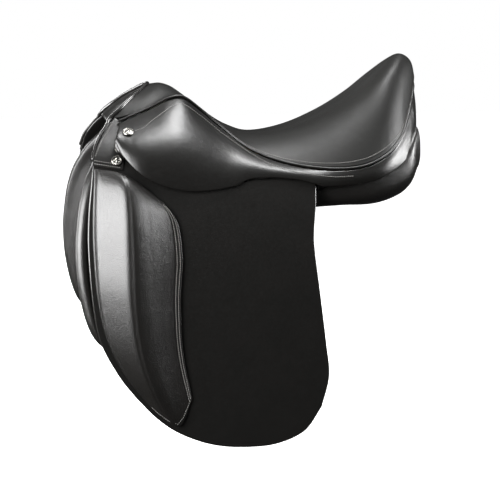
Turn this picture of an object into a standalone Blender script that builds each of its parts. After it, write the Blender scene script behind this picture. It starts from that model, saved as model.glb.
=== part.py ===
"""Dressage saddle, English pattern: tree, seat, panels, flaps, skirts, knee blocks and fittings.

Metres, +Z up. The pommel points to -X, the rider's left side is -Y. The origin lies on the centre
plane at the level of the panels' bearing surface, under the deepest part of the seat.
"""

import math

import bmesh
import bpy
from mathutils import Matrix, Vector

# ---------------------------------------------------------------- driving dimensions

SIDE_SPREAD = 0.152        # half width that the side surface tends to, low down
SIDE_FALL = 0.067          # how far inside that spread the side lies at SIDE_TOP
SIDE_TOP = 0.100           # height where the fall is measured
SIDE_REACH = 0.095         # height over which the fall dies away
TWIST_NARROWING = 0.014    # extra narrowing at the twist, each side
TWIST_X = -0.080
TWIST_LENGTH = 0.070

LEATHER_FLAP = 0.0040      # flap hide thickness
LEATHER_SKIRT = 0.0035
LEATHER_SWEAT = 0.0035     # sweat flap hide
LEATHER_SEAT = 0.0020
LEATHER_PATCH = 0.0020
LEATHER_FACING = 0.0025
LEATHER_GUARD = 0.0025
LEATHER_BILLET = 0.0040
FOAM = 0.012               # seat foam
TREE_WALL = 0.008          # laminated tree

LAYER_GAP = 0.0010         # air between neighbouring hides on the side surface
SEAT_GAP = 0.0024          # air between the layers of the seat

BILLET_WIDTH = 0.025
BILLET_LENGTH = 0.305
BILLET_TOP = 0.030         # height of the billets' pivots
BILLET_FRONT_X = -0.098
BILLET_REAR_X = -0.046
BILLET_TIP = 0.012         # length of the pointed tip

WELT_RADIUS = 0.0020
STUD_RADIUS = 0.0078
STUD_HEIGHT = 0.0030
DEE_WIRE = 0.0016          # wire radius of the dee ring
DEE_WIDTH = 0.020
DEE_DROP = 0.015

BAR_LENGTH = 0.074         # stirrup bar, outside
BAR_ROD = 0.0080           # depth of the rod that the leather hangs on
BAR_SLOT = 0.0075          # gap for the stirrup leather
BAR_PLATE = 0.0040         # back plate
BAR_HEIGHT = 0.0100
BAR_CENTRE = (-0.140, 0.066)
BAR_SLOPE = math.radians(14.0)
WINDOW_MARGIN = 0.009      # opening in the flap round the bar

CATCH_LENGTH = 0.016
CATCH_WIDTH = 0.0080
CATCH_THICKNESS = 0.0050

ROLL_RADIUS = 0.014        # front roll of the sweat flap
BLOCK_HEIGHT = 0.027       # knee block, proud of the flap

CATCH_CLEARANCE = 0.0008
HEAD_OUT = 0.0075          # offset of the flap's outer face near the pommel
HEAD_LEVEL = 0.115         # above this height the flap lies at HEAD_OUT
HEAD_RAMP = 0.050          # height over which it comes out to its full offset
DEE_CENTRE = (-0.2140, 0.0890)
DEE_SLOPE = 0.5
DEE_CLEARANCE = 0.0006     # chape round the straight side of the dee
CHAPE_LEATHER = 0.0012
CHAPE_RISE = 0.0060
CHAPE_WIDTH = 0.010
STUD_RIM = 0.0008
FOAM_INSET = 0.016         # edge of the foam, inside the welt
TREE_INSET = 0.030         # edge of the tree, inside the welt
STUD_CLEARANCE = 0.0006
SKIRT_STUD_RISE = 0.0022   # lifts the nail head clear of the skirt's slope
SKIRT_STUD = (-0.2060, 0.1150)
PATCH_STUD = (-0.2245, 0.0680)
FACING_WIDTH = 0.020
FACING_DEPTH = 0.010
CANTLE_SWELL = 0.002
CANTLE_SET_BACK = 0.0012
CANTLE_TUCK = 0.0036       # drop from the welt's middle to the top of the cantle facing
CANTLE_BENCH = 0.150       # x of the centre that the cantle bulges away from
SPRING = 0.0016            # spring steel strip
SPRING_CLEARANCE = 0.0014
FOLD_AXIS_OUT = 0.003      # axis of a fold, outside the hide's outer face
SKIRT_AXIS_OUT = 0.016      # the skirt bows out between the ends of its fold
ROLL_KNOTS = 15
WELT_KNOTS = 34
PANEL_SIDES = 14

# ---------------------------------------------------------------- outlines, as (x, z) on the side

FOLD_FRONT = (-0.2585, 0.0650)     # line that the flap folds along
FOLD_REAR = (0.0600, -0.0340)
FLAP_FRONT = [FOLD_FRONT, (-0.2635, 0.033), (-0.268, -0.002), (-0.270, -0.050), (-0.266, -0.121),
              (-0.256, -0.179), (-0.230, -0.231), (-0.205, -0.265)]
FLAP_FOOT = [(-0.205, -0.265), (-0.175, -0.297), (-0.142, -0.321), (-0.098, -0.339),
             (-0.053, -0.346), (0.000, -0.344), (0.044, -0.326), (0.070, -0.290)]
FLAP_REAR = [FOLD_REAR, (0.061, -0.064), (0.067, -0.116), (0.076, -0.191), (0.081, -0.244),
             (0.070, -0.290)]
FLAP_HEAD_FRONT = [(-0.227, 0.124), (-0.239, 0.112), (-0.249, 0.097), (-0.255, 0.080), FOLD_FRONT]
FLAP_HEAD_TOP = [(-0.227, 0.124), (-0.205, 0.117), (-0.180, 0.116), (-0.150, 0.112), (-0.120, 0.104),
                 (-0.090, 0.092), (-0.060, 0.076), (-0.025, 0.058), (0.010, 0.048), (0.040, 0.043),
                 (0.066, 0.036)]
FLAP_HEAD_REAR = [(0.066, 0.036), (0.065, 0.010), FOLD_REAR]

SKIRT_EDGE = [(-0.2270, 0.1030), (-0.2180, 0.0850), (-0.1980, 0.0620), (-0.1780, 0.0480),
              (-0.1500, 0.0370), (-0.1140, 0.0310), (-0.0620, 0.0360), (-0.0320, 0.0465),
              (0.0060, 0.0480), (0.0420, 0.0440), (0.0640, 0.0380), (0.0890, 0.0340), (0.1400, 0.0360)]
SKIRT_FOLD_FRONT = (-0.2265, 0.1075)
SKIRT_FOLD_REAR = (-0.0335, 0.0500)

BLOCK_TOP = [(-0.2560, 0.0570), (-0.2230, 0.0510), (-0.1930, 0.0380), (-0.1600, 0.0140)]
BLOCK_REAR = [(-0.1600, 0.0140), (-0.1400, -0.0150), (-0.1350, -0.0650), (-0.1390, -0.1220),
              (-0.1370, -0.1960), (-0.1240, -0.2700)]
BLOCK_FRONT = [(-0.2560, 0.0570), (-0.2610, 0.0000), (-0.2630, -0.0500), (-0.2590, -0.1150),
               (-0.2470, -0.1750), (-0.2230, -0.2270), (-0.1880, -0.2750)]
BLOCK_FOOT = [(-0.1880, -0.2750), (-0.1650, -0.2970), (-0.1420, -0.3080), (-0.1240, -0.2700)]

PATCH_FRONT = [(-0.2320, 0.1100), (-0.2450, 0.0950), (-0.2590, 0.0695)]
PATCH_REAR = [(-0.2060, 0.1000), (-0.2100, 0.0800), (-0.2170, 0.0620)]

SWEAT_TOP = [(-0.238, 0.048), (-0.150, 0.018), (-0.050, -0.006), (0.045, -0.034)]
SWEAT_FRONT = [(-0.238, 0.048), (-0.252, 0.000), (-0.2575, -0.055), (-0.2550, -0.100),
               (-0.2480, -0.140), (-0.238, -0.172), (-0.228, -0.205)]
SWEAT_REAR = [(0.045, -0.034), (0.048, -0.100), (0.058, -0.190), (0.056, -0.260)]
SWEAT_FOOT = [(-0.228, -0.205), (-0.190, -0.262), (-0.140, -0.300), (-0.060, -0.322), (0.010, -0.312),
              (0.056, -0.260)]

GUARD_BOX = (-0.128, -0.016, 0.018, -0.110)      # x from, x to, z top, z foot

ROLL_LINE = [(-0.224, 0.116), (-0.238, 0.094), (-0.250, 0.064), (-0.262, 0.030), (-0.270, -0.010),
             (-0.2735, -0.055), (-0.2710, -0.100), (-0.2640, -0.140), (-0.2540, -0.172), (-0.2400, -0.192)]
ROLL_SWELL = [0.50, 0.80, 0.95, 1.00, 1.00, 1.00, 1.00, 0.97, 0.88, 0.50]
ROLL_SEAT = [(-0.050, -0.006), (0.040, -0.008), (0.095, -0.015), (0.120, -0.017)]

# ---------------------------------------------------------------- outlines of the seat and panels

SEAT_CENTRE = [(-0.157, 0.179), (-0.146, 0.180), (-0.131, 0.175), (-0.116, 0.165), (-0.098, 0.151),
               (-0.076, 0.134), (-0.045, 0.116), (-0.005, 0.106), (0.050, 0.117), (0.105, 0.142),
               (0.150, 0.172), (0.185, 0.201), (0.208, 0.217), (0.226, 0.221), (0.243, 0.211),
               (0.250, 0.188)]
SEAT_WELT = [(-0.217, 0.080, 0.1295), (-0.192, 0.071, 0.139), (-0.166, 0.062, 0.149),
             (-0.141, 0.054, 0.160), (-0.118, 0.050, 0.1615), (-0.091, 0.052, 0.142),
             (-0.062, 0.064, 0.117), (-0.022, 0.089, 0.086), (0.030, 0.112, 0.067),
             (0.090, 0.127, 0.059), (0.140, 0.126, 0.062), (0.178, 0.113, 0.077),
             (0.205, 0.092, 0.100), (0.222, 0.067, 0.126), (0.236, 0.040, 0.154), (0.244, 0.020, 0.172)]
WELT_END = (0.2475, 0.0030, 0.1785)
SEAT_ROUND = [1.8, 1.8, 1.8, 1.9, 2.0, 2.2, 2.4, 2.6, 2.6, 2.6, 2.6, 2.6, 2.4, 2.2, 2.0, 2.0]
SEAT_DISH = [0.0, 0.0, 0.0, 0.0, 0.0, 0.0, 0.0, 0.002, 0.005, 0.008, 0.011, 0.010, 0.005, 0.0, 0.0, 0.0]
SKIRT_BULGE = [(-0.227, 0.006), (-0.205, 0.018), (-0.170, 0.026), (-0.120, 0.027), (-0.080, 0.020),
               (-0.040, 0.014), (0.000, 0.009), (0.040, 0.006), (0.140, 0.004)]

# x, centre y, centre z, half width, half thickness, tilt in degrees from level
PANEL_SECTIONS = [(-0.226, 0.074, 0.040, 0.036, 0.007, 62), (-0.205, 0.067, 0.046, 0.052, 0.012, 60),
                  (-0.150, 0.067, 0.034, 0.054, 0.015, 55), (-0.090, 0.071, 0.024, 0.050, 0.018, 45),
                  (-0.030, 0.077, 0.018, 0.046, 0.020, 30), (0.040, 0.078, 0.021, 0.042, 0.021, 14),
                  (0.110, 0.078, 0.024, 0.042, 0.024, 4), (0.165, 0.074, 0.030, 0.042, 0.031, -4),
                  (0.205, 0.066, 0.039, 0.036, 0.028, -6), (0.230, 0.056, 0.056, 0.030, 0.025, -8),
                  (0.246, 0.050, 0.068, 0.018, 0.016, -8)]

POMMEL_RIM = [(-0.1640, 0.0, 0.1790), (-0.1690, 0.0140, 0.1765), (-0.1810, 0.0300, 0.1690),
              (-0.1970, 0.0490, 0.1580), (-0.2130, 0.0630, 0.1450), (-0.2280, 0.0690, 0.1320)]
FACING_LIP = 0.006
CANTLE_TOP = (0.2480, 0.0, 0.1750)
CANTLE_EDGE = [(0.1412, 0.1270, 0.0360), (0.1720, 0.1240, 0.0450), (0.2030, 0.1060, 0.0600),
               (0.2240, 0.0840, 0.0860), (0.2380, 0.0600, 0.1000), (0.2450, 0.0300, 0.1190),
               (0.2470, 0.0, 0.1290)]
PANEL_BRIDGE = [(-0.150, 0.030, 0.072), (-0.080, 0.032, 0.062), (-0.010, 0.034, 0.040),
                (0.060, 0.036, 0.040), (0.130, 0.034, 0.042), (0.190, 0.030, 0.060)]

HEAD_ARCH = [(0.094, 0.040), (0.085, 0.066), (0.070, 0.094), (0.048, 0.119), (0.024, 0.133),
             (0.000, 0.137)]
HEAD_PLATE_X = -0.186
HEAD_PLATE_WIDTH = 0.026
HEAD_PLATE = 0.0035
GULLET_PLATE_GAP = 0.003   # leather and felt between the head plate and the gullet plate

# ---------------------------------------------------------------- materials

LEATHER_BLACK = ((0.012, 0.012, 0.013), 0.40, 0.0)
LEATHER_SOFT = ((0.016, 0.016, 0.017), 0.48, 0.0)
STEEL = ((0.30, 0.30, 0.31), 0.35, 1.0)
NICKEL = ((0.42, 0.41, 0.40), 0.25, 1.0)
FOAM_GREY = ((0.35, 0.34, 0.32), 0.90, 0.0)
BEECH_PLY = ((0.45, 0.30, 0.17), 0.60, 0.0)

for old in list(bpy.data.objects):
    bpy.data.objects.remove(old, do_unlink=True)

SADDLE = bpy.data.collections.new("dressage_saddle")
CUTTERS = bpy.data.collections.new("cutters")
bpy.context.scene.collection.children.link(SADDLE)
bpy.context.scene.collection.children.link(CUTTERS)

SIDES = (("left", -1), ("right", 1))


def finish(obj, look):
    """Gives the object a material of its own."""
    colour, roughness, metallic = look
    material = bpy.data.materials.new(obj.name)
    material.use_nodes = True
    shader = material.node_tree.nodes["Principled BSDF"]
    shader.inputs["Base Color"].default_value = (*colour, 1.0)
    shader.inputs["Roughness"].default_value = roughness
    shader.inputs["Metallic"].default_value = metallic
    obj.data.materials.append(material)


def add_object(name, data, look):
    obj = bpy.data.objects.new(name, data)
    SADDLE.objects.link(obj)
    finish(obj, look)
    return obj


# ---------------------------------------------------------------- curves and the side surface


def smooth(t):
    t = min(max(t, 0.0), 1.0)
    return t * t * (3.0 - 2.0 * t)


def along(points, t):
    """The point at share t of a Catmull-Rom curve through the points, spaced by their distances."""
    vectors = [Vector(p) if len(p) == 3 else Vector((p[0], 0.0, p[1])) for p in points]
    steps = [(b - a).length for a, b in zip(vectors, vectors[1:])]
    wanted = min(max(t, 0.0), 1.0) * sum(steps)
    k = 0
    while k < len(steps) - 1 and wanted > steps[k]:
        wanted -= steps[k]
        k += 1
    share = min(wanted / steps[k], 1.0)
    before = vectors[k - 1] if k > 0 else vectors[k] * 2.0 - vectors[k + 1]
    after = vectors[k + 2] if k + 2 < len(vectors) else vectors[k + 1] * 2.0 - vectors[k]
    a, b = vectors[k], vectors[k + 1]
    return 0.5 * (2.0 * a + (b - before) * share + (2.0 * before - 5.0 * a + 4.0 * b - after) * share**2
                  + (3.0 * a - before - 3.0 * b + after) * share**3)


def at(table, x):
    """Straight-line reading of a table of (x, value)."""
    if x <= table[0][0]:
        return table[0][1]
    for (x0, v0), (x1, v1) in zip(table, table[1:]):
        if x <= x1:
            return v0 + (v1 - v0) * (x - x0) / (x1 - x0)
    return table[-1][1]


def side(x, z):
    """Half width of the base surface that all the side hides are layered on."""
    spread = SIDE_SPREAD - SIDE_FALL * math.exp((z - SIDE_TOP) / SIDE_REACH)
    twist = math.exp(-((x - TWIST_X) / TWIST_LENGTH) ** 2) * smooth((z - 0.030) / 0.080)
    return spread - TWIST_NARROWING * twist


def side_normal(x, z):
    step = 0.0005
    slope_x = (side(x + step, z) - side(x - step, z)) / (2 * step)
    slope_z = (side(x, z + step) - side(x, z - step)) / (2 * step)
    return Vector((-slope_x, 1.0, -slope_z)).normalized()


def on_side(x, z, offset):
    """The point of the right side that lies at this offset outside the base surface."""
    return Vector((x, side(x, z), z)) + side_normal(x, z) * offset


def coons(top, foot, front, rear, columns, rows):
    """A grid of (x, z) inside four edge curves. Top and foot run rearwards, front and rear downwards."""
    grid = []
    corners = [along(top, 0), along(top, 1), along(foot, 0), along(foot, 1)]
    for r in range(rows + 1):
        v = r / rows
        line = []
        for c in range(columns + 1):
            u = c / columns
            point = (1 - v) * along(top, u) + v * along(foot, u)
            point += (1 - u) * along(front, v) + u * along(rear, v)
            point -= (1 - v) * ((1 - u) * corners[0] + u * corners[1])
            point -= v * ((1 - u) * corners[2] + u * corners[3])
            line.append((point.x, point.z))
        grid.append(line)
    return grid


# ---------------------------------------------------------------- mesh helpers


def grid_mesh(name, grid, hand):
    """An open mesh from rows of points. Its faces look outwards on the right side, hand +1."""
    shell = bmesh.new()
    rows = [[shell.verts.new((p[0], p[1] * hand, p[2])) for p in line] for line in grid]
    for upper, lower in zip(rows, rows[1:]):
        for c in range(len(upper) - 1):
            corners = (upper[c], upper[c + 1], lower[c + 1], lower[c])
            shell.faces.new(corners if hand > 0 else corners[::-1])
    mesh = bpy.data.meshes.new(name)
    shell.to_mesh(mesh)
    shell.free()
    return mesh


def solid_sheet(name, grid, hand, thickness, look):
    """A hide: its outer face is the grid, its thickness goes inwards."""
    obj = add_object(name, grid_mesh(name, grid, hand), look)
    wall = obj.modifiers.new("hide", "SOLIDIFY")
    wall.thickness = thickness
    wall.offset = -1.0
    wall.use_even_offset = False
    return obj


def solid_pad(name, outer, inner, hand, look):
    """A closed pad between two grids of the same size, with straight walls round its edge."""
    shell = bmesh.new()
    faces = []
    sheets = []
    for grid in (outer, inner):
        sheets.append([[shell.verts.new((p[0], p[1] * hand, p[2])) for p in line] for line in grid])
    for sheet in sheets:
        for upper, lower in zip(sheet, sheet[1:]):
            for c in range(len(upper) - 1):
                faces.append(shell.faces.new((upper[c], upper[c + 1], lower[c + 1], lower[c])))
    rims = []
    for sheet in sheets:
        right = [line[-1] for line in sheet[1:]]
        left = [line[0] for line in sheet[-2:0:-1]]
        rims.append(sheet[0] + right + sheet[-1][-2::-1] + left)
    for k in range(len(rims[0])):
        following = (k + 1) % len(rims[0])
        shell.faces.new((rims[0][k], rims[0][following], rims[1][following], rims[1][k]))
    bmesh.ops.recalc_face_normals(shell, faces=shell.faces)
    mesh = bpy.data.meshes.new(name)
    shell.to_mesh(mesh)
    shell.free()
    return add_object(name, mesh, look)


def solid_loft(name, rings, look):
    """A closed body through rings of points, capped at both ends."""
    shell = bmesh.new()
    loops = [[shell.verts.new(p) for p in ring] for ring in rings]
    for first, second in zip(loops, loops[1:]):
        for k in range(len(first)):
            following = (k + 1) % len(first)
            shell.faces.new((first[k], first[following], second[following], second[k]))
    shell.faces.new(loops[0])
    shell.faces.new(loops[-1])
    bmesh.ops.recalc_face_normals(shell, faces=shell.faces)
    mesh = bpy.data.meshes.new(name)
    shell.to_mesh(mesh)
    shell.free()
    return add_object(name, mesh, look)


def tube(name, points, radius, look, swell=None, closed=False, sides=2):
    """A wire, welt or roll: a curve with a round bevel and filled caps."""
    data = bpy.data.curves.new(name, "CURVE")
    data.dimensions = "3D"
    data.bevel_depth = radius
    data.bevel_resolution = sides
    data.use_fill_caps = True
    spline = data.splines.new("POLY")
    spline.points.add(len(points) - 1)
    for k, (knot, p) in enumerate(zip(spline.points, points)):
        knot.co = (*p, 1.0)
        knot.radius = swell[k] if swell else 1.0
    spline.use_cyclic_u = closed
    return add_object(name, data, look)


def hang(name, pivot):
    """Puts an object's origin on its joint's axis and leaves the shape where it is."""
    obj = bpy.data.objects[name]
    origin = Matrix.Translation(pivot)
    obj.data.transform(origin.inverted())
    obj.matrix_world = origin


def flat_bar(name, outline, thickness, place, look):
    """An outline in its own XY plane, filled and extruded, put in place by a matrix."""
    data = bpy.data.curves.new(name, "CURVE")
    data.dimensions = "2D"
    data.fill_mode = "BOTH"
    data.extrude = thickness / 2
    spline = data.splines.new("POLY")
    spline.points.add(len(outline) - 1)
    for knot, p in zip(spline.points, outline):
        knot.co = (p[0], p[1], 0.0, 1.0)
    spline.use_cyclic_u = True
    obj = add_object(name, data, look)
    obj.matrix_world = place
    return obj


# ---------------------------------------------------------------- layers on the side surface

SWEAT_OUT = 0.0
BILLET_OUT = SWEAT_OUT + LAYER_GAP + LEATHER_BILLET
GUARD_OUT = BILLET_OUT + LAYER_GAP + LEATHER_GUARD
FLAP_OUT = GUARD_OUT + LAYER_GAP + LEATHER_FLAP
PATCH_RISE = 0.8 * LAYER_GAP + LEATHER_PATCH


def flap_out(z):
    """Offset of the flap's outer face: clear of the girth straps low down, close to the head above."""
    return HEAD_OUT + (FLAP_OUT - HEAD_OUT) * smooth((HEAD_LEVEL - z) / HEAD_RAMP)


def sheet_on_side(name, flat, hand, offset, thickness, look):
    """A hide on the side surface. Its offset is one size, or a function of height."""
    grid = [[on_side(x, z, offset(z) if callable(offset) else offset) for x, z in line] for line in flat]
    return solid_sheet(name, grid, hand, thickness, look)


def add_flaps(label, hand):
    """Fixed head of the flap with its window for the stirrup bar, and the flap that folds below it."""
    head_gap = 0.0010
    fold = [(FOLD_FRONT[0], FOLD_FRONT[1] + head_gap), (FOLD_REAR[0], FOLD_REAR[1] + head_gap)]
    front = FLAP_HEAD_FRONT[:-1] + [fold[0]]
    rear = FLAP_HEAD_REAR[:-1] + [fold[1]]
    head = coons(FLAP_HEAD_TOP, fold, front, rear, 12, 5)
    top = sheet_on_side(f"flap_head_{label}", head, hand, flap_out, LEATHER_FLAP, LEATHER_BLACK)
    cut_window(top, label, hand)
    fold = [(FOLD_FRONT[0], FOLD_FRONT[1] - head_gap), (FOLD_REAR[0], FOLD_REAR[1] - head_gap)]
    front = [fold[0]] + FLAP_FRONT[1:]
    rear = [fold[1]] + FLAP_REAR[1:]
    lower = coons(fold, FLAP_FOOT, front, rear, 9, 11)
    sheet_on_side(f"flap_{label}", lower, hand, flap_out, LEATHER_FLAP, LEATHER_BLACK)
    hang(f"flap_{label}", fold_middle(hand))


def fold_middle(hand):
    """Middle of the straight axis that the flap folds about."""
    front, rear = (on_side(x, z, flap_out(z) + FOLD_AXIS_OUT) for x, z in (FOLD_FRONT, FOLD_REAR))
    middle = (front + rear) / 2
    return Vector((middle.x, middle.y * hand, middle.z))


def bar_place(hand):
    """Frame of the stirrup bar: X along the bar to the rear, Y outwards, Z up its face."""
    x, z = BAR_CENTRE
    out = side_normal(x, z)
    rear = Vector((math.cos(BAR_SLOPE), 0.0, -math.sin(BAR_SLOPE)))
    rear = (rear - out * rear.dot(out)).normalized()
    up = rear.cross(out)
    centre = on_side(x, z, LAYER_GAP)
    place = Matrix((rear, out, up)).transposed().to_4x4()
    place.translation = centre
    mirror = Matrix.Diagonal((1.0, hand, 1.0, 1.0))
    return mirror @ place


def cut_window(flap, label, hand):
    bpy.ops.mesh.primitive_cube_add(size=1.0)
    cutter = bpy.context.object
    cutter.name = f"bar_window_{label}"
    for owner in list(cutter.users_collection):
        owner.objects.unlink(cutter)
    CUTTERS.objects.link(cutter)
    size = Matrix.Diagonal((BAR_LENGTH + CATCH_LENGTH + 2 * WINDOW_MARGIN, 0.060,
                            BAR_HEIGHT + 2 * WINDOW_MARGIN, 1.0))
    shift = Matrix.Translation((CATCH_LENGTH / 2, 0.0, 0.0))
    cutter.data.transform(bar_place(1) @ shift @ size)
    if hand < 0:
        cutter.data.transform(Matrix.Diagonal((1.0, -1.0, 1.0, 1.0)))
        cutter.data.flip_normals()
    cutter.hide_render = True
    cutter.display_type = "WIRE"
    cut = flap.modifiers.new("bar window", "BOOLEAN")
    cut.operation = "DIFFERENCE"
    cut.object = cutter


def add_sweat_flap(label, hand):
    flat = coons(SWEAT_TOP, SWEAT_FOOT, SWEAT_FRONT, SWEAT_REAR, 7, 8)
    sheet_on_side(f"sweat_flap_{label}", flat, hand, SWEAT_OUT, LEATHER_SWEAT, LEATHER_BLACK)
    line = []
    for k in range(ROLL_KNOTS):
        p = along(ROLL_LINE, k / (ROLL_KNOTS - 1))
        q = on_side(p.x, p.z, at(ROLL_SEAT, p.z))
        line.append((q.x, q.y * hand, q.z))
    swell = [station(ROLL_SWELL, k / (ROLL_KNOTS - 1)) for k in range(ROLL_KNOTS)]
    tube(f"front_roll_{label}", line, ROLL_RADIUS, LEATHER_SOFT, swell)


def block_height(u, v):
    """Height of the knee block at share u of its width from the front and v of its height from the top."""
    across = at([(0.0, 0.12), (0.06, 0.55), (0.16, 0.92), (0.28, 1.0), (0.38, 0.86), (0.46, 0.62),
                 (0.56, 0.60), (0.74, 0.36), (0.90, 0.12), (1.0, 0.09)], u)
    down = at([(0.0, 0.45), (0.08, 0.85), (0.25, 1.0), (0.55, 0.95), (0.80, 0.70), (0.95, 0.40),
               (1.0, 0.15)], v)
    return BLOCK_HEIGHT * across * down + 0.0015


def add_knee_block(label, hand):
    columns, rows = 9, 9
    flat = coons(BLOCK_TOP, BLOCK_FOOT, BLOCK_FRONT, BLOCK_REAR, columns, rows)
    outer = []
    inner = []
    for r, line in enumerate(flat):
        outer.append([])
        inner.append([])
        for c, (x, z) in enumerate(line):
            base = flap_out(z) + LAYER_GAP
            inner[-1].append(on_side(x, z, base))
            outer[-1].append(on_side(x, z, base + block_height(c / columns, r / rows)))
    solid_pad(f"knee_block_{label}", outer, inner, hand, LEATHER_SOFT)
    hang(f"knee_block_{label}", fold_middle(hand))


def patch_out(z):
    return flap_out(z) + PATCH_RISE


def add_patch(label, hand):
    flat = []
    for r in range(5):
        a, b = along(PATCH_FRONT, r / 4), along(PATCH_REAR, r / 4)
        flat.append([(a.x + (b.x - a.x) * c / 3, a.z + (b.z - a.z) * c / 3) for c in range(4)])
    sheet_on_side(f"corner_patch_{label}", flat, hand, patch_out, LEATHER_PATCH, LEATHER_BLACK)


# ---------------------------------------------------------------- skirt


WELT_Y = [(x, y) for x, y, z in SEAT_WELT]
WELT_Z = [(x, z) for x, y, z in SEAT_WELT]
SKIRT_EDGE_OUT = [(-0.227, 0.0310), (-0.198, 0.0300), (-0.170, 0.0250), (-0.140, 0.0220),
                  (-0.080, 0.0205), (0.140, 0.0205)]


def skirt_y(x, z):
    """Half width of the skirt's outer face."""
    top, foot = at(WELT_Z, x), at(SKIRT_EDGE, x)
    share = min(max((top - z) / (top - foot), 0.0), 1.05)
    edge = side(x, foot) + at(SKIRT_EDGE_OUT, x)
    bulge = at(SKIRT_BULGE, x) * math.sin(math.pi * min(share, 1.0)) ** 0.8
    return at(WELT_Y, x) + (edge - at(WELT_Y, x)) * share + bulge


def between(upper, lower, columns, rows):
    """A grid of skirt points between two (x, z) curves."""
    grid = []
    for r in range(rows + 1):
        line = []
        for c in range(columns + 1):
            a, b = along(upper, c / columns), along(lower, c / columns)
            p = a + (b - a) * r / rows
            line.append((p.x, skirt_y(p.x, p.z), p.z))
        grid.append(line)
    return grid


def skirt_fold_middle(hand):
    """Middle of the straight axis that the skirt folds about."""
    ends = (SKIRT_FOLD_FRONT, SKIRT_FOLD_REAR)
    front, rear = (Vector((x, skirt_y(x, z) + SKIRT_AXIS_OUT, z)) for x, z in ends)
    middle = (front + rear) / 2
    return Vector((middle.x, middle.y * hand, middle.z))


def add_skirt(label, hand):
    tuck = WELT_RADIUS + 0.0012
    gap = 0.0008
    upper = [(x, z - tuck) for x, y, z in SEAT_WELT[:11]]
    fold = [SKIRT_FOLD_FRONT, SKIRT_FOLD_REAR]
    lower = [(x, z + gap) for x, z in fold] + SKIRT_EDGE[8:]
    grid = between(upper, lower, 16, 4)
    solid_sheet(f"skirt_head_{label}", grid, hand, LEATHER_SKIRT, LEATHER_BLACK)
    upper = [(x, z - gap) for x, z in fold]
    grid = between(upper, SKIRT_EDGE[:8], 10, 4)
    solid_sheet(f"skirt_{label}", grid, hand, LEATHER_SKIRT, LEATHER_BLACK)
    hang(f"skirt_{label}", skirt_fold_middle(hand))


# ---------------------------------------------------------------- seat


def station(table, u):
    """A reading of a list of numbers spread evenly over u from 0 to 1."""
    place = min(max(u, 0.0), 1.0) * (len(table) - 1)
    k = min(int(place), len(table) - 2)
    return table[k] + (table[k + 1] - table[k]) * (place - k)


def seat_point(u, v):
    """Top of the seat at share u from the pommel and v across, -1 to 1."""
    side_share = abs(v)
    place = u * (len(SEAT_CENTRE) - 1)
    k = min(int(place), len(SEAT_CENTRE) - 2)
    share = place - k
    cx, cz = (SEAT_CENTRE[k][i] + (SEAT_CENTRE[k + 1][i] - SEAT_CENTRE[k][i]) * share for i in (0, 1))
    wx, wy, wz = (SEAT_WELT[k][i] + (SEAT_WELT[k + 1][i] - SEAT_WELT[k][i]) * share for i in (0, 1, 2))
    power = station(SEAT_ROUND, u)
    fall = side_share**power
    dish = station(SEAT_DISH, u) * max(0.0, 1.0 - (side_share / 0.55) ** 2) ** 2
    return Vector((cx + (wx - cx) * fall, wy * v, cz + (wz - cz) * fall - dish))


def seat_normal(u, v):
    step = 0.004
    du = seat_point(min(u + step, 1.0), v) - seat_point(max(u - step, 0.0), v)
    dv = seat_point(u, min(v + step, 1.0)) - seat_point(u, max(v - step, -1.0))
    return du.cross(dv).normalized()


def seat_layer(name, span, inset, depth, thickness, columns, rows, look, strip=(1.0, -1.0)):
    """A layer of the seat at a depth, its edge this far inside the welt.

    A strip is a share of its width.
    """
    grid = []
    for r in range(rows + 1):
        u = span[0] + (span[1] - span[0]) * r / rows
        reach = 1.0 - inset / (seat_point(u, 1.0) - seat_point(u, 0.0)).length
        line = []
        for c in range(columns + 1):
            v = reach * (strip[0] + (strip[1] - strip[0]) * c / columns)
            line.append(seat_point(u, v) - seat_normal(u, v) * depth)
        grid.append(line)
    return solid_sheet(name, grid, 1, thickness, look)


# ---------------------------------------------------------------- girth straps and their guard


def strap(name, x, hand, look):
    """A girth strap that follows the side surface straight down from its pivot, with a pointed tip."""
    half = BILLET_WIDTH / 2
    foot = BILLET_TOP - BILLET_LENGTH
    levels = [BILLET_TOP + half] + [BILLET_TOP - BILLET_LENGTH * k / 9 for k in range(9)]
    levels += [foot + BILLET_TIP, foot]
    widths = [half] * (len(levels) - 1) + [half * 0.45]
    flat = [[(x - w, z), (x + w, z)] for z, w in zip(levels, widths)]
    sheet_on_side(name, flat, hand, BILLET_OUT, LEATHER_BILLET, look)
    hang(name, (x, side(x, BILLET_TOP) * hand, BILLET_TOP))


def add_girth_straps(label, hand):
    strap(f"front_billet_{label}", BILLET_FRONT_X, hand, LEATHER_BLACK)
    strap(f"rear_billet_{label}", BILLET_REAR_X, hand, LEATHER_BLACK)
    x0, x1, z0, z1 = GUARD_BOX
    flat = [[(x0 + (x1 - x0) * c / 4, z0 + (z1 - z0) * r / 5) for c in range(5)] for r in range(6)]
    sheet_on_side(f"buckle_guard_{label}", flat, hand, GUARD_OUT, LEATHER_GUARD, LEATHER_BLACK)


# ---------------------------------------------------------------- metal fittings on the side


def add_stirrup_bar(label, hand):
    """Forged bar: back plate, front arm and the rod that the leather hangs on, open to the rear."""
    half = BAR_LENGTH / 2
    depth = BAR_PLATE + BAR_SLOT + BAR_ROD
    outline = [(-half, 0.0), (half, 0.0), (half, BAR_PLATE), (-half + BAR_ROD, BAR_PLATE),
               (-half + BAR_ROD, BAR_PLATE + BAR_SLOT), (half, BAR_PLATE + BAR_SLOT),
               (half, depth - BAR_ROD * 0.25), (half - BAR_ROD * 0.25, depth),
               (-half + BAR_ROD * 0.5, depth), (-half, depth - BAR_ROD * 0.5)]
    flat_bar(f"stirrup_bar_{label}", outline, BAR_HEIGHT, bar_place(hand), STEEL)


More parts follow.
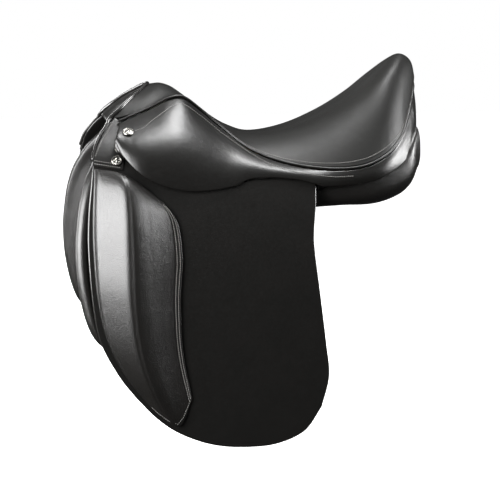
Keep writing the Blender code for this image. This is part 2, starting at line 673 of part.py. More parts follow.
def add_bar_catch(label, hand):
    """Thumb catch at the open end of the bar, on a pivot across the side surface."""
    length, half = CATCH_LENGTH, CATCH_WIDTH / 2
    outline = [(-half, -half), (length - 2 * half, -half), (length - half, 0.0),
               (length - 2 * half, half), (-half, half), (-half * 1.15, 0.0)]
    turn = Matrix.Rotation(math.radians(90.0), 4, "X")
    shift = Matrix.Translation((BAR_LENGTH / 2 + CATCH_CLEARANCE + half, BAR_PLATE + BAR_SLOT / 2, 0.0))
    flat_bar(f"bar_catch_{label}", outline, CATCH_THICKNESS, bar_place(hand) @ shift @ turn, STEEL)


def dee_place(hand):
    """Frame of the dee ring: X along its straight side, Y outwards, Z up."""
    x, z = DEE_CENTRE
    out = side_normal(x, z)
    rear = (Vector((1.0, 0.0, -DEE_SLOPE)) - out * Vector((1.0, 0.0, -DEE_SLOPE)).dot(out)).normalized()
    place = Matrix((rear, out, rear.cross(out))).transposed().to_4x4()
    place.translation = on_side(x, z, patch_out(z) + LAYER_GAP + DEE_WIRE + DEE_CLEARANCE + CHAPE_LEATHER)
    return Matrix.Diagonal((1.0, hand, 1.0, 1.0)) @ place


def add_dee(label, hand):
    """Dee ring that hangs from a folded leather chape."""
    place = dee_place(hand)
    half = DEE_WIDTH / 2
    points = [(-half, 0.0, 0.0), (0.0, 0.0, 0.0), (half, 0.0, 0.0)]
    for k in range(1, 8):
        angle = math.pi * k / 8
        points.append((half * math.cos(angle), 0.0, -DEE_DROP * math.sin(angle) ** 0.7))
    line = [tuple(place @ Vector(p)) for p in points]
    tube(f"dee_ring_{label}", line, DEE_WIRE, NICKEL, closed=True, sides=1)
    hang(f"dee_ring_{label}", place.translation)
    inner, outer = DEE_WIRE + DEE_CLEARANCE, DEE_WIRE + DEE_CLEARANCE + CHAPE_LEATHER
    outline = [(-inner, CHAPE_RISE), (-inner, 0.0)]
    bend = [math.pi + math.pi * k / 6 for k in range(7)]
    outline = [(inner * math.cos(a), inner * math.sin(a)) for a in bend]
    outline += [(inner, CHAPE_RISE), (outer, CHAPE_RISE)]
    outline += [(outer * math.cos(a), outer * math.sin(a)) for a in bend[::-1]]
    outline += [(-outer, CHAPE_RISE + outer), (inner, CHAPE_RISE + outer), (inner, CHAPE_RISE + inner),
                (-inner, CHAPE_RISE + inner)]
    turn = Matrix.Rotation(math.radians(90.0), 4, "Z") @ Matrix.Rotation(math.radians(90.0), 4, "X")
    flat_bar(f"dee_chape_{label}", outline, CHAPE_WIDTH, place @ turn, LEATHER_BLACK)


def add_stud(name, x, z, base, hand):
    """Round nail head: a low dome turned from a profile."""
    profile = [(STUD_RADIUS * math.cos(a), STUD_HEIGHT * math.sin(a))
               for a in (math.radians(d) for d in (0, 25, 50, 72))]
    profile.append((0.0, STUD_HEIGHT))
    data = bpy.data.meshes.new(name)
    points = [(STUD_RADIUS, 0.0, 0.0)] + [(r, 0.0, h + STUD_RIM) for r, h in profile]
    points = [(0.0, 0.0, 0.0)] + points
    data.from_pydata(points, [(k, k + 1) for k in range(len(points) - 1)], [])
    obj = add_object(name, data, NICKEL)
    turned = obj.modifiers.new("turned", "SCREW")
    turned.steps = 20
    turned.render_steps = 20
    turned.use_merge_vertices = True
    turned.merge_threshold = 0.00005
    turned.use_normal_calculate = True
    out = side_normal(x, z)
    out.y *= hand
    y, height = base
    turn = out.to_track_quat("Z", "Y").to_matrix().to_4x4()
    obj.matrix_world = Matrix.Translation((x, y * hand, height)) @ turn


# ---------------------------------------------------------------- welt, facings, tree and panels


def add_seat_welt(label, hand):
    """Piping in the seam between the seat and the skirt."""
    line = []
    for k in range(WELT_KNOTS):
        p = along(SEAT_WELT + [WELT_END], k / (WELT_KNOTS - 1))
        line.append((p.x, p.y * hand, p.z))
    tube(f"seat_welt_{label}", line, WELT_RADIUS, LEATHER_BLACK, sides=1)


def add_pommel_facing():
    """Leather that closes the front of the pommel: a lip under the seat, the rim and the gullet face."""
    rim = [Vector(p) for p in POMMEL_RIM]
    lip, inner = [], []
    for k, p in enumerate(rim):
        share = min(k / 2, 1.0)
        lip.append(p + Vector((FACING_LIP, -0.001 * share, -0.001)))
        width = FACING_WIDTH * share
        inner.append(p + Vector((FACING_DEPTH, -width, 0.55 * width - FACING_WIDTH)))
    middle = [(a + b) / 2 for a, b in zip(rim, inner)]
    rows = []
    for half in (lip, rim, middle, inner):
        rows.append([Vector((p.x, -p.y, p.z)) for p in half[:0:-1]] + half)
    solid_sheet("pommel_facing", rows, 1, LEATHER_FACING, LEATHER_BLACK)


def add_cantle_facing():
    """Leather round the back of the cantle, from one skirt to the other."""
    upper = [(x + CANTLE_SET_BACK, y, z - CANTLE_TUCK) for x, y, z in SEAT_WELT[10:]] + [CANTLE_TOP]
    half = []
    for k in range(13):
        half.append((along(upper, k / 12), along(CANTLE_EDGE, k / 12)))
    rows = []
    for s in (0.0, 0.33, 0.67, 1.0):
        swell = CANTLE_SWELL * math.sin(math.pi * s)
        line = []
        for a, b in half:
            p = a + (b - a) * s
            out = Vector((p.x - CANTLE_BENCH, p.y, 0.0)).normalized()
            line.append(p + out * swell)
        rows.append([Vector((p.x, -p.y, p.z)) for p in line] + [p for p in line[-2::-1]])
    solid_sheet("cantle_facing", rows, -1, LEATHER_FACING, LEATHER_BLACK)


def panel_ring(section, hand):
    x, cy, cz, half_width, half_depth, tilt = section
    tilt = math.radians(tilt)
    ring = []
    for k in range(PANEL_SIDES):
        angle = 2 * math.pi * k / PANEL_SIDES
        a = math.copysign(abs(math.cos(angle)) ** 0.65, math.cos(angle)) * half_width
        b = math.copysign(abs(math.sin(angle)) ** 0.65, math.sin(angle)) * half_depth
        y = cy + a * math.cos(tilt) + b * math.sin(tilt)
        z = cz - a * math.sin(tilt) + b * math.cos(tilt)
        ring.append((x, y * hand, z))
    return ring


def add_panel(label, hand):
    solid_loft(f"panel_{label}", [panel_ring(s, hand) for s in PANEL_SECTIONS], LEATHER_SOFT)


def add_panel_bridge():
    """Leather web over the gullet channel that ties the two panels together."""
    rows = []
    for x, half, z in PANEL_BRIDGE:
        rows.append([Vector((x, half * (1 - 2 * c / 4), z + 0.004 * (1 - (1 - 2 * c / 4) ** 2)))
                     for c in range(5)])
    solid_sheet("panel_bridge", rows, 1, LEATHER_FACING, LEATHER_BLACK)


def arch(name, points, inset, width, thickness, look):
    """A steel arch across the head, bent from flat strip: an outline in the YZ plane, extruded along X."""
    line = points[:-1] + [points[-1]] + [(-y, z) for y, z in points[-2::-1]]
    outer, inner = [], []
    for k, (y, z) in enumerate(line):
        before, after = line[max(k - 1, 0)], line[min(k + 1, len(line) - 1)]
        run = Vector((after[0] - before[0], after[1] - before[1])).normalized()
        outer.append((y - run.y * inset, z + run.x * inset))
        inner.append((y - run.y * (inset + thickness), z + run.x * (inset + thickness)))
    place = Matrix(((0, 0, 1, HEAD_PLATE_X), (1, 0, 0, 0), (0, 1, 0, 0), (0, 0, 0, 1)))
    flat_bar(name, outer + inner[::-1], width, place, look)


# ---------------------------------------------------------------- build


for label, hand in SIDES:
    add_flaps(label, hand)
    add_sweat_flap(label, hand)
    add_knee_block(label, hand)
    add_patch(label, hand)
    add_skirt(label, hand)
    add_girth_straps(label, hand)
    add_stirrup_bar(label, hand)
    add_bar_catch(label, hand)
    add_dee(label, hand)
    add_seat_welt(label, hand)
    add_panel(label, hand)
    sx, sz = SKIRT_STUD
    add_stud(f"skirt_stud_{label}", sx, sz, (skirt_y(sx, sz) + SKIRT_STUD_RISE, sz), hand)
    px, pz = PATCH_STUD
    seat = on_side(px, pz, patch_out(pz) + STUD_CLEARANCE)
    add_stud(f"patch_stud_{label}", px, pz, (seat.y, seat.z), hand)

add_pommel_facing()
add_cantle_facing()
add_panel_bridge()
arch("head_plate", HEAD_ARCH, 0.0, HEAD_PLATE_WIDTH, HEAD_PLATE, STEEL)
arch("gullet_plate", HEAD_ARCH[2:], HEAD_PLATE + GULLET_PLATE_GAP, HEAD_PLATE_WIDTH, HEAD_PLATE, STEEL)
seat_layer("seat_cover", (0.0, 1.0), 0.0048, 0.0, LEATHER_SEAT, 14, 18, LEATHER_SOFT)
foam_depth = LEATHER_SEAT + SEAT_GAP
seat_layer("seat_foam", (0.06, 0.78), FOAM_INSET, foam_depth, FOAM, 10, 12, FOAM_GREY)
tree_depth = foam_depth + FOAM + SEAT_GAP
seat_layer("saddle_tree", (0.08, 0.76), TREE_INSET, tree_depth, TREE_WALL, 10, 12, BEECH_PLY)
spring_depth = tree_depth + TREE_WALL + SEAT_GAP + SPRING_CLEARANCE
for label, hand in SIDES:
    strip = sorted((hand * 0.30, hand * 0.46), reverse=True)
    seat_layer(f"tree_spring_{label}", (0.14, 0.72), TREE_INSET, spring_depth, SPRING, 1, 10, STEEL, strip)
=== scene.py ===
import math

import bmesh
import bpy
from mathutils import Matrix, Vector


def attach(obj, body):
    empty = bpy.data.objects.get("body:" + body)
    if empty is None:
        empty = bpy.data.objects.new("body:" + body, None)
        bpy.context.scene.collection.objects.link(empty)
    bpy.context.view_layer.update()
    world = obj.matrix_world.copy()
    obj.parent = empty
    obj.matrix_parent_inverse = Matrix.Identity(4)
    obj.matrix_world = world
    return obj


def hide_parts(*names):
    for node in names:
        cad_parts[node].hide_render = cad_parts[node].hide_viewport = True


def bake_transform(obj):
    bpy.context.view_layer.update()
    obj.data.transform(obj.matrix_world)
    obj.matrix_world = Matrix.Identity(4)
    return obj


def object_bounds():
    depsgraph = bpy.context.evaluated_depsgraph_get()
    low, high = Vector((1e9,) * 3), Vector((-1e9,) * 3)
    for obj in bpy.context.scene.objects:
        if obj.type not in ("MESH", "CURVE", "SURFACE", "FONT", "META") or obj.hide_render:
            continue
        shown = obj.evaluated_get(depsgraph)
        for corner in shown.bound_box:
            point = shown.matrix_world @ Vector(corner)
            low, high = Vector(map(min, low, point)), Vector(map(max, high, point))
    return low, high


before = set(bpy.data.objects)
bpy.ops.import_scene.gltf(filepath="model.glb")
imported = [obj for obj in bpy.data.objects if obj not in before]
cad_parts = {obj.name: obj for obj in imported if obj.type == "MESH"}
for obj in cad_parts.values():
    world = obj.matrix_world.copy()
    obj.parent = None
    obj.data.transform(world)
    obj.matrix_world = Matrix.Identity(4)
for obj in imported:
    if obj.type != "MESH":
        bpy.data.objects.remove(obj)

cad_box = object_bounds()

# ---------------------------------------------------------------- camera, light and floor
# A long lens looks at the left side from a little in front. Two softboxes stand before the pommel, one
# behind the cantle and one on the far side, and one hangs over the seat. The room between them is dim,
# as for black goods, and the floor is white paper, lit until it matches the wall.

LOOK_AT = Vector((-0.008, 0.0, -0.080))
TURN, LIFT, DISTANCE = math.radians(10.5), math.radians(9.5), 2.400
SENSOR, FIELD = 36.0, 0.775            # mm, and the width in metres seen at LOOK_AT

camera = bpy.data.objects.new("camera", bpy.data.cameras.new("camera"))
bpy.context.scene.collection.objects.link(camera)
towards = Vector((-math.sin(TURN) * math.cos(LIFT), -math.cos(TURN) * math.cos(LIFT), math.sin(LIFT)))
camera.location = LOOK_AT + towards * DISTANCE
camera.rotation_euler = towards.to_track_quat("Z", "Y").to_euler()
camera.data.sensor_width = SENSOR
camera.data.lens = SENSOR * DISTANCE / FIELD
bpy.context.scene.camera = camera


def hexa(code):
    """An sRGB hex colour as linear RGBA."""
    values = [int(code[k:k + 2], 16) / 255.0 for k in (0, 2, 4)]
    return [v / 12.92 if v <= 0.04045 else ((v + 0.055) / 1.055) ** 2.4 for v in values] + [1.0]


def add(tree, kind, inputs=(), **settings):
    """Adds a node. Each input is a value, or a node and the name of its output."""
    node = tree.nodes.new(kind)
    for name, value in settings.items():
        setattr(node, name, value)
    for name, value in dict(inputs).items():
        if isinstance(value, tuple) and isinstance(value[0], bpy.types.Node):
            tree.links.new(value[0].outputs[value[1]], node.inputs[name])
        else:
            node.inputs[name].default_value = value
    return node


LIGHT_AIM = Vector((0.0, 0.0, -0.05))


def softbox(name, place, size, power):
    data = bpy.data.lights.new(name, "AREA")
    data.shape = "RECTANGLE"
    data.size, data.size_y = size
    data.energy = power
    box = bpy.data.objects.new(name, data)
    box.location = place
    box.visible_camera = False
    box.rotation_euler = (Vector(place) - LIGHT_AIM).to_track_quat("Z", "Y").to_euler()
    bpy.context.scene.collection.objects.link(box)


softbox("softbox_front", (-1.85, -1.20, 0.50), (1.30, 1.70), 180.0)
softbox("softbox_left", (-2.10, 0.55, 0.25), (0.80, 1.20), 45.0)
softbox("softbox_rear", (1.90, -0.50, 0.55), (0.60, 0.80), 58.0)
softbox("softbox_over", (0.24, -0.12, 1.50), (0.50, 0.45), 25.0)
softbox("softbox_back", (-0.75, 1.90, 0.50), (0.70, 0.50), 9.0)

# The wall is white to the camera. To everything else it is dim, and lighter towards the ceiling.
bpy.context.scene.view_settings.view_transform = "Standard"
world = bpy.data.worlds.new("studio")
bpy.context.scene.world = world
world.use_nodes = True
tree = world.node_tree
tree.nodes.clear()
seen = add(tree, "ShaderNodeLightPath")
where = add(tree, "ShaderNodeTexCoord")
height = add(tree, "ShaderNodeSeparateXYZ", {"Vector": (where, "Generated")})
ceiling = add(tree, "ShaderNodeMapRange", {"Value": (height, "Z"), "From Min": 0.45, "From Max": 1.0,
                                           "To Min": 0.03, "To Max": 0.55}, interpolation_type="SMOOTHSTEP")
dim = add(tree, "ShaderNodeBackground", {"Color": (1.0, 1.0, 1.0, 1.0), "Strength": (ceiling, "Result")})
bright = add(tree, "ShaderNodeBackground", {"Color": (1.0, 1.0, 1.0, 1.0), "Strength": 1.0})
mix = add(tree, "ShaderNodeMixShader", {0: (seen, "Is Camera Ray")})
tree.links.new(dim.outputs[0], mix.inputs[1])
tree.links.new(bright.outputs[0], mix.inputs[2])
add(tree, "ShaderNodeOutputWorld", {"Surface": (mix, 0)})

FLOOR_DROP, FLOOR_HALF = 0.012, 6.0
low = cad_box[0][2] - FLOOR_DROP
corners = [(x * FLOOR_HALF, y * FLOOR_HALF, low) for x, y in ((-1, -1), (1, -1), (1, 1), (-1, 1))]
mesh = bpy.data.meshes.new("floor")
mesh.from_pydata(corners, [], [(0, 1, 2, 3)])
floor = bpy.data.objects.new("floor", mesh)
bpy.context.scene.collection.objects.link(floor)
# Matt paper with almost no highlight, whose glow leaves a faint shadow under the saddle.
paper = bpy.data.materials.new("white_paper")
paper.use_nodes = True
shader = paper.node_tree.nodes["Principled BSDF"]
shader.inputs["Base Color"].default_value = hexa("f4f4f4")
shader.inputs["Roughness"].default_value = 0.9
shader.inputs["Specular IOR Level"].default_value = 0.1
shader.inputs["Emission Color"].default_value = (1.0, 1.0, 1.0, 1.0)
shader.inputs["Emission Strength"].default_value = 0.84
mesh.materials.append(paper)
floor.visible_glossy = False
floor.visible_diffuse = False

# ---------------------------------------------------------------- leathers
# Vegetable-tanned cowhide, drum-dyed black and dressed with wax. The flap hide is smooth, and the
# covers of the blocks, rolls and panels are a softer hide with its pebble grain left on.


def new_material(name):
    """A material with its nodes, its shader, and the node that says where on the piece a point is."""
    material = bpy.data.materials.new(name)
    material.use_nodes = True
    tree = material.node_tree
    return material, tree, tree.nodes["Principled BSDF"], add(tree, "ShaderNodeTexCoord")


def two_tone(tree, shader, pattern, output, dark, light):
    """Colours the shader between two shades, by a pattern's output."""
    tone = add(tree, "ShaderNodeMix", {"Factor": (pattern, output)}, data_type="RGBA")
    tone.inputs["A"].default_value = hexa(dark)
    tone.inputs["B"].default_value = hexa(light)
    tree.links.new(tone.outputs["Result"], shader.inputs["Base Color"])


def leather(name, colour, worn, roughness, grain, depth, coat, shine=0.42):
    """Dyed cowhide. grain is the pebble's width and depth its relief, in millimetres."""
    material, tree, shader, place = new_material(name)
    # Slow cloudiness of the dye, 45 mm across, and a finer mottle where the wax lies thin.
    clouds = add(tree, "ShaderNodeTexNoise", {"Vector": (place, "Object"), "Scale": 22.0, "Detail": 4.0,
                                              "Roughness": 0.55})
    mottle = add(tree, "ShaderNodeTexNoise", {"Vector": (place, "Object"), "Scale": 260.0, "Detail": 3.0})
    two_tone(tree, shader, clouds, "Fac", colour, worn)
    gloss = add(tree, "ShaderNodeMapRange", {"Value": (mottle, "Fac"), "To Min": roughness - 0.06,
                                             "To Max": roughness + 0.07})
    tree.links.new(gloss.outputs["Result"], shader.inputs["Roughness"])
    # Pebbles: cells as wide as the grain, with pores a third as wide over them.
    cells = add(tree, "ShaderNodeTexVoronoi", {"Vector": (place, "Object"), "Scale": 1000.0 / grain},
                feature="SMOOTH_F1")
    pores = add(tree, "ShaderNodeTexNoise", {"Vector": (place, "Object"), "Scale": 3000.0 / grain,
                                             "Detail": 2.0})
    both = add(tree, "ShaderNodeMath", {0: (cells, "Distance"), 1: (pores, "Fac")}, operation="ADD")
    # Slack: the hide isn't quite flat, and waves 16 mm long and a third of a millimetre deep show in
    # the highlights.
    slack = add(tree, "ShaderNodeTexNoise", {"Vector": (place, "Object"), "Scale": 62.0, "Detail": 2.0})
    waves = add(tree, "ShaderNodeBump", {"Height": (slack, "Fac"), "Strength": 1.0, "Distance": 0.00035})
    relief = add(tree, "ShaderNodeBump", {"Height": (both, "Value"), "Strength": 1.0,
                                          "Distance": depth / 1000.0, "Normal": (waves, "Normal")})
    tree.links.new(relief.outputs["Normal"], shader.inputs["Normal"])
    shader.inputs["IOR"].default_value = 1.48
    shader.inputs["Coat Weight"].default_value = coat
    shader.inputs["Coat Roughness"].default_value = 0.22
    shader.inputs["Specular IOR Level"].default_value = shine
    return material


# Smooth hide: an even satin, almost black, with broad soft highlights.
flap_leather = leather("waxed_smooth_cowhide", "0a0a09", "100f0e", 0.33, 0.9, 0.05, 0.10)
# Seat hide: softer and a shade lighter, so that it looks grey where light rakes it.
seat_leather = leather("soft_seat_cowhide", "131312", "1b1b1a", 0.44, 0.8, 0.06, 0.0, 0.28)
# Grained hide: pebbles 1.6 mm wide, drawn a little coarse so that they show.
grain_leather = leather("pebbled_cowhide", "0e0d0c", "151413", 0.31, 1.6, 0.22, 0.25)
# Cut edges: sanded, inked and burnished with wax, the shiniest part of the hide.
edge_leather = leather("burnished_leather_edge", "121110", "1b1a19", 0.22, 0.7, 0.02, 0.60)

# ---------------------------------------------------------------- flap
# The long straight flap of each side, one hide of 4 mm leather. Its head is nailed to the tree, with a
# window for the stirrup bar. On the saddle it folds up below that so that the girth straps can be reached;
# here it lies unfolded.

SIDES = (("left", -1), ("right", 1))


def link_piece(name, verts, faces, material, hand=1):
    """A smooth-shaded mesh piece. Points are given for the right side, and hand -1 mirrors them."""
    mesh = bpy.data.meshes.new(name)
    points = [(p[0], p[1] * hand, p[2]) for p in verts]
    turned = [face if hand > 0 else tuple(reversed(face)) for face in faces]
    mesh.from_pydata(points, [], turned)
    mesh.shade_smooth()
    mesh.materials.append(material)
    piece = bpy.data.objects.new(name, mesh)
    bpy.context.scene.collection.objects.link(piece)
    return piece


def along(points, t):
    """The point at share t of a smooth curve through the points."""
    vectors = [Vector(p) if len(p) == 3 else Vector((p[0], 0.0, p[1])) for p in points]
    steps = [(b - a).length for a, b in zip(vectors, vectors[1:])]
    wanted = min(max(t, 0.0), 1.0) * sum(steps)
    k = 0
    while k < len(steps) - 1 and wanted > steps[k]:
        wanted -= steps[k]
        k += 1
    share = min(wanted / steps[k], 1.0)
    before = vectors[k - 1] if k > 0 else vectors[k] * 2.0 - vectors[k + 1]
    after = vectors[k + 2] if k + 2 < len(vectors) else vectors[k + 1] * 2.0 - vectors[k]
    a, b = vectors[k], vectors[k + 1]
    return 0.5 * (2.0 * a + (b - before) * share + (2.0 * before - 5.0 * a + 4.0 * b - after) * share**2
                  + (3.0 * a - before - 3.0 * b + after) * share**3)


def at(table, x):
    """A smooth reading of a table of (x, value)."""
    if x <= table[0][0]:
        return table[0][1]
    if x >= table[-1][0]:
        return table[-1][1]
    k = max(i for i in range(len(table) - 1) if table[i][0] <= x)
    slopes = []
    for i in (k, k + 1):
        a, b = table[max(i - 1, 0)], table[min(i + 1, len(table) - 1)]
        slopes.append((b[1] - a[1]) / (b[0] - a[0]))
    (x0, y0), (x1, y1) = table[k], table[k + 1]
    w = x1 - x0
    s = (x - x0) / w
    return ((2 * s**3 - 3 * s**2 + 1) * y0 + (s**3 - 2 * s**2 + s) * w * slopes[0]
            + (3 * s**2 - 2 * s**3) * y1 + (s**3 - s**2) * w * slopes[1])


def smooth(t):
    t = min(max(t, 0.0), 1.0)
    return t * t * (3.0 - 2.0 * t)


SIDE_SPREAD, SIDE_PINCH = 0.152, 0.067     # the half width far down, and what it loses at the level
PINCH_LEVEL, PINCH_FADE = 0.100, 0.095
WAIST, WAIST_X, WAIST_REACH = 0.014, -0.080, 0.070


def side(x, z):
    """Half width of the surface that all hides of one side are layered on.

    The horse's ribs spread it below, and the rider's thighs press in a waist under the pommel.
    """
    spread = SIDE_SPREAD - SIDE_PINCH * math.exp((z - PINCH_LEVEL) / PINCH_FADE)
    waist = math.exp(-((x - WAIST_X) / WAIST_REACH) ** 2) * smooth((z - 0.030) / 0.080)
    return spread - WAIST * waist


def side_normal(x, z):
    step = 0.0005
    slope_x = (side(x + step, z) - side(x - step, z)) / (2 * step)
    slope_z = (side(x, z + step) - side(x, z - step)) / (2 * step)
    return Vector((-slope_x, 1.0, -slope_z)).normalized()


def on_side(x, z, offset):
    return Vector((x, side(x, z), z)) + side_normal(x, z) * offset


def coons(top, foot, front, rear, us, vs):
    """A grid of (x, z) inside four edge curves. Top and foot run rearwards, front and rear down."""
    tops, feet = [along(top, u) for u in us], [along(foot, u) for u in us]
    fronts, rears = [along(front, v) for v in vs], [along(rear, v) for v in vs]
    a, b, c, d = along(top, 0), along(top, 1), along(foot, 0), along(foot, 1)
    grid = []
    for v, left, right in zip(vs, fronts, rears):
        line = []
        for u, up, down in zip(us, tops, feet):
            p = (1 - v) * up + v * down + (1 - u) * left + u * right
            p -= (1 - v) * ((1 - u) * a + u * b) + v * ((1 - u) * c + u * d)
            line.append((p.x, p.z))
        grid.append(line)
    return grid


def shares(count, length, near):
    """Even shares of a length, with close ones at both ends for a rounded edge."""
    ends = [0.0, 0.12, 0.35, 0.70, 1.10]
    first = [near * e / length for e in ends]
    start, stop = first[-1], 1.0 - first[-1]
    middle = [start + (stop - start) * k / count for k in range(1, count)]
    return first + middle + [1.0 - f for f in reversed(first)]


def hide(name, grid, thickness, hand, material, edge=None):
    """A closed hide with rounded edges, from the grid of its outer face. Its thickness goes inwards."""
    rows, columns = len(grid), len(grid[0])
    across, down = [[[0.0] * columns for _ in range(rows)] for _ in range(2)]
    for r in range(rows):
        for c in range(columns):
            if c > 0:
                across[r][c] = across[r][c - 1] + (grid[r][c] - grid[r][c - 1]).length
            if r > 0:
                down[r][c] = down[r - 1][c] + (grid[r][c] - grid[r - 1][c]).length
    half = thickness / 2
    outer, inner, inset = [], [], []
    for r in range(rows):
        for c in range(columns):
            run = grid[r][min(c + 1, columns - 1)] - grid[r][max(c - 1, 0)]
            fall = grid[min(r + 1, rows - 1)][c] - grid[max(r - 1, 0)][c]
            normal = run.cross(fall).normalized()
            d = min(across[r][c], across[r][-1] - across[r][c], down[r][c], down[-1][c] - down[r][c])
            inset.append(d)
            drop = half * (1.0 - math.sqrt(max(0.0, 1.0 - (1.0 - min(d / half, 1.0)) ** 2)))
            outer.append(grid[r][c] - normal * drop)
            inner.append(grid[r][c] - normal * (thickness - drop))
    verts = list(outer)
    index = {}
    for r in range(rows):
        for c in range(columns):
            k = r * columns + c
            if r in (0, rows - 1) or c in (0, columns - 1):
                index[k] = k
            else:
                index[k] = len(verts)
                verts.append(inner[k])
    faces = []
    for r in range(rows - 1):
        for c in range(columns - 1):
            k = r * columns + c
            loop = (k, k + columns, k + columns + 1, k + 1)
            faces.append(tuple(reversed(loop)))
            back = tuple(index[i] for i in loop)
            if back != loop:
                faces.append(back)
    piece = link_piece(name, verts, faces, material, hand)
    if edge:
        piece.data.materials.append(edge)
        for polygon, face in zip(piece.data.polygons, faces):
            if face[0] < rows * columns and inset[face[0]] < thickness * 0.45:
                polygon.material_index = 1
    return piece


def cut_out(piece, shape):
    """Takes a bmesh shape out of a piece."""
    bmesh.ops.recalc_face_normals(shape, faces=shape.faces)
    cutter = bpy.data.objects.new("cutter", bpy.data.meshes.new("cutter"))
    shape.to_mesh(cutter.data)
    shape.free()
    bpy.context.scene.collection.objects.link(cutter)
    cut = piece.modifiers.new("cut", "BOOLEAN")
    cut.operation, cut.object = "DIFFERENCE", cutter
    bpy.context.view_layer.update()
    done = bpy.data.meshes.new_from_object(piece.evaluated_get(bpy.context.evaluated_depsgraph_get()))
    piece.modifiers.clear()
    piece.data = done
    bpy.data.objects.remove(cutter, do_unlink=True)


FLAP = 0.0040
FLAP_OFFSET = 0.0135
HEAD_OFFSET = 0.0075
FOLD_FRONT, FOLD_REAR = (-0.2585, 0.0650), (0.0600, -0.0340)
FLAP_TOP = [(-0.227, 0.124), (-0.205, 0.117), (-0.180, 0.116), (-0.150, 0.112), (-0.120, 0.104),
            (-0.090, 0.092), (-0.060, 0.076), (-0.025, 0.058), (0.010, 0.048), (0.040, 0.043),
            (0.066, 0.036)]
FLAP_FRONT = [(-0.227, 0.124), (-0.239, 0.112), (-0.249, 0.097), (-0.255, 0.080), FOLD_FRONT,
              (-0.2635, 0.033), (-0.268, -0.002), (-0.270, -0.050), (-0.266, -0.121),
              (-0.256, -0.179), (-0.230, -0.231), (-0.205, -0.265)]
FLAP_FOOT = [(-0.205, -0.265), (-0.175, -0.297), (-0.142, -0.321), (-0.098, -0.339),
             (-0.053, -0.346), (0.000, -0.344), (0.044, -0.326), (0.070, -0.290)]
FLAP_REAR = [(0.066, 0.036), (0.065, 0.010), FOLD_REAR, (0.061, -0.064), (0.067, -0.116),
             (0.076, -0.191), (0.081, -0.244), (0.070, -0.290)]


def flap_out(z):
    return HEAD_OFFSET + (FLAP_OFFSET - HEAD_OFFSET) * smooth((0.115 - z) / 0.050)


def fold(piece):
    """Bakes a hide's placement into its mesh; the hide is not bent."""
    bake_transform(piece)


BAR_CENTRE = (-0.140, 0.066)
BAR_SLOPE = math.radians(14.0)
WINDOW = (0.108, 0.060, 0.028)         # along the bar, through the hide and across the bar
WINDOW_SHIFT = 0.008                    # rearwards, for the bar's open end

flap_grid = [[on_side(x, z, flap_out(z)) for x, z in line]
             for line in coons(FLAP_TOP, FLAP_FOOT, FLAP_FRONT, FLAP_REAR,
                               shares(64, 0.32, FLAP / 2), shares(96, 0.42, FLAP / 2))]

out = side_normal(*BAR_CENTRE)
rear = Vector((math.cos(BAR_SLOPE), 0.0, -math.sin(BAR_SLOPE)))
rear = (rear - out * rear.dot(out)).normalized()
window_place = Matrix((rear, out, rear.cross(out))).transposed().to_4x4()
window_place.translation = on_side(*BAR_CENTRE, 0.001)

for label, hand in SIDES:
    piece = hide(f"flap_hide_{label}", flap_grid, FLAP, hand, flap_leather, edge_leather)
    shape = bmesh.new()
    bmesh.ops.create_cube(shape, size=1.0)
    size = Matrix.Translation((WINDOW_SHIFT, 0.0, 0.0)) @ Matrix.Diagonal((*WINDOW, 1.0))
    place = Matrix.Diagonal((1, hand, 1, 1)) @ window_place @ size
    bmesh.ops.transform(shape, verts=shape.verts, matrix=place)
    cut_out(piece, shape)
    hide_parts(f"flap_{label}", f"flap_head_{label}")
    fold(piece)

# ---------------------------------------------------------------- stitching
# Bonded polyester thread, 1 mm thick, sewn at 8 stitches to the inch. Each stitch is a short bead
# that sinks into the hide at both ends.

thread, tree, shader, place = new_material("waxed_polyester_thread")
# Painted glint: the twist of the plies, 0.6 mm apart, is drawn as lighter grey specks in the colour, for
# light catching the bead unevenly.
painted_ply_glint = add(tree, "ShaderNodeTexNoise", {"Vector": (place, "Object"), "Scale": 1600.0})
# The lighter of these two greys is painted glint, not the thread's own colour.
two_tone(tree, shader, painted_ply_glint, "Fac", "3b3a38", "74726e")
shader.inputs["Roughness"].default_value = 0.38
shader.inputs["Sheen Weight"].default_value = 0.3

STITCH_PITCH = 0.0032
STITCH_LENGTH = 0.0024
STITCH_WIDTH = 0.00055
STITCH_HEIGHT = 0.00045
BEAD = ((-0.5, 0.35), (-0.2, 0.95), (0.2, 0.95), (0.5, 0.35))    # a ring's place and its size
BEAD_SIDES = 6
THREAD_GAP = 0.0001


def skin(rings):
    """Points and faces of the closed form that a row of rings describes."""
    sides, verts = len(rings[0]), [p for ring in rings for p in ring]
    faces = [tuple(reversed(range(sides)))]
    for r in range(len(rings) - 1):
        for k in range(sides):
            a, b = r * sides + k, r * sides + (k + 1) % sides
            faces.append((a, b, b + sides, a + sides))
    faces.append(tuple(range(len(verts) - sides, len(verts))))
    return verts, faces


def stitches(name, paths, hand):
    """One mesh with a bead for each stitch. A path is a list of (point, normal) close together."""
    verts, faces = [], []
    for path in paths:
        walked, wanted = 0.0, STITCH_PITCH / 2
        for (a, na), (b, nb) in zip(path, path[1:]):
            step = (b - a).length
            while step > 1e-7 and walked + step >= wanted:
                share = (wanted - walked) / step
                centre, normal = a + (b - a) * share, (na + (nb - na) * share).normalized()
                run = (b - a).normalized()
                flank = normal.cross(run).normalized()
                rings = []
                for place, size in BEAD:
                    angles = [2 * math.pi * k / BEAD_SIDES for k in range(BEAD_SIDES)]
                    rings.append([centre + run * (STITCH_LENGTH * place)
                                  + flank * (STITCH_WIDTH * size * math.cos(angle))
                                  + normal * (STITCH_HEIGHT * (size * math.sin(angle) + size - 0.6))
                                  for angle in angles])
                bead, bead_faces = skin(rings)
                faces += [tuple(len(verts) + k for k in face) for face in bead_faces]
                verts += bead
                wanted += STITCH_PITCH
            walked += step
    return link_piece(name, verts, faces, thread, hand)


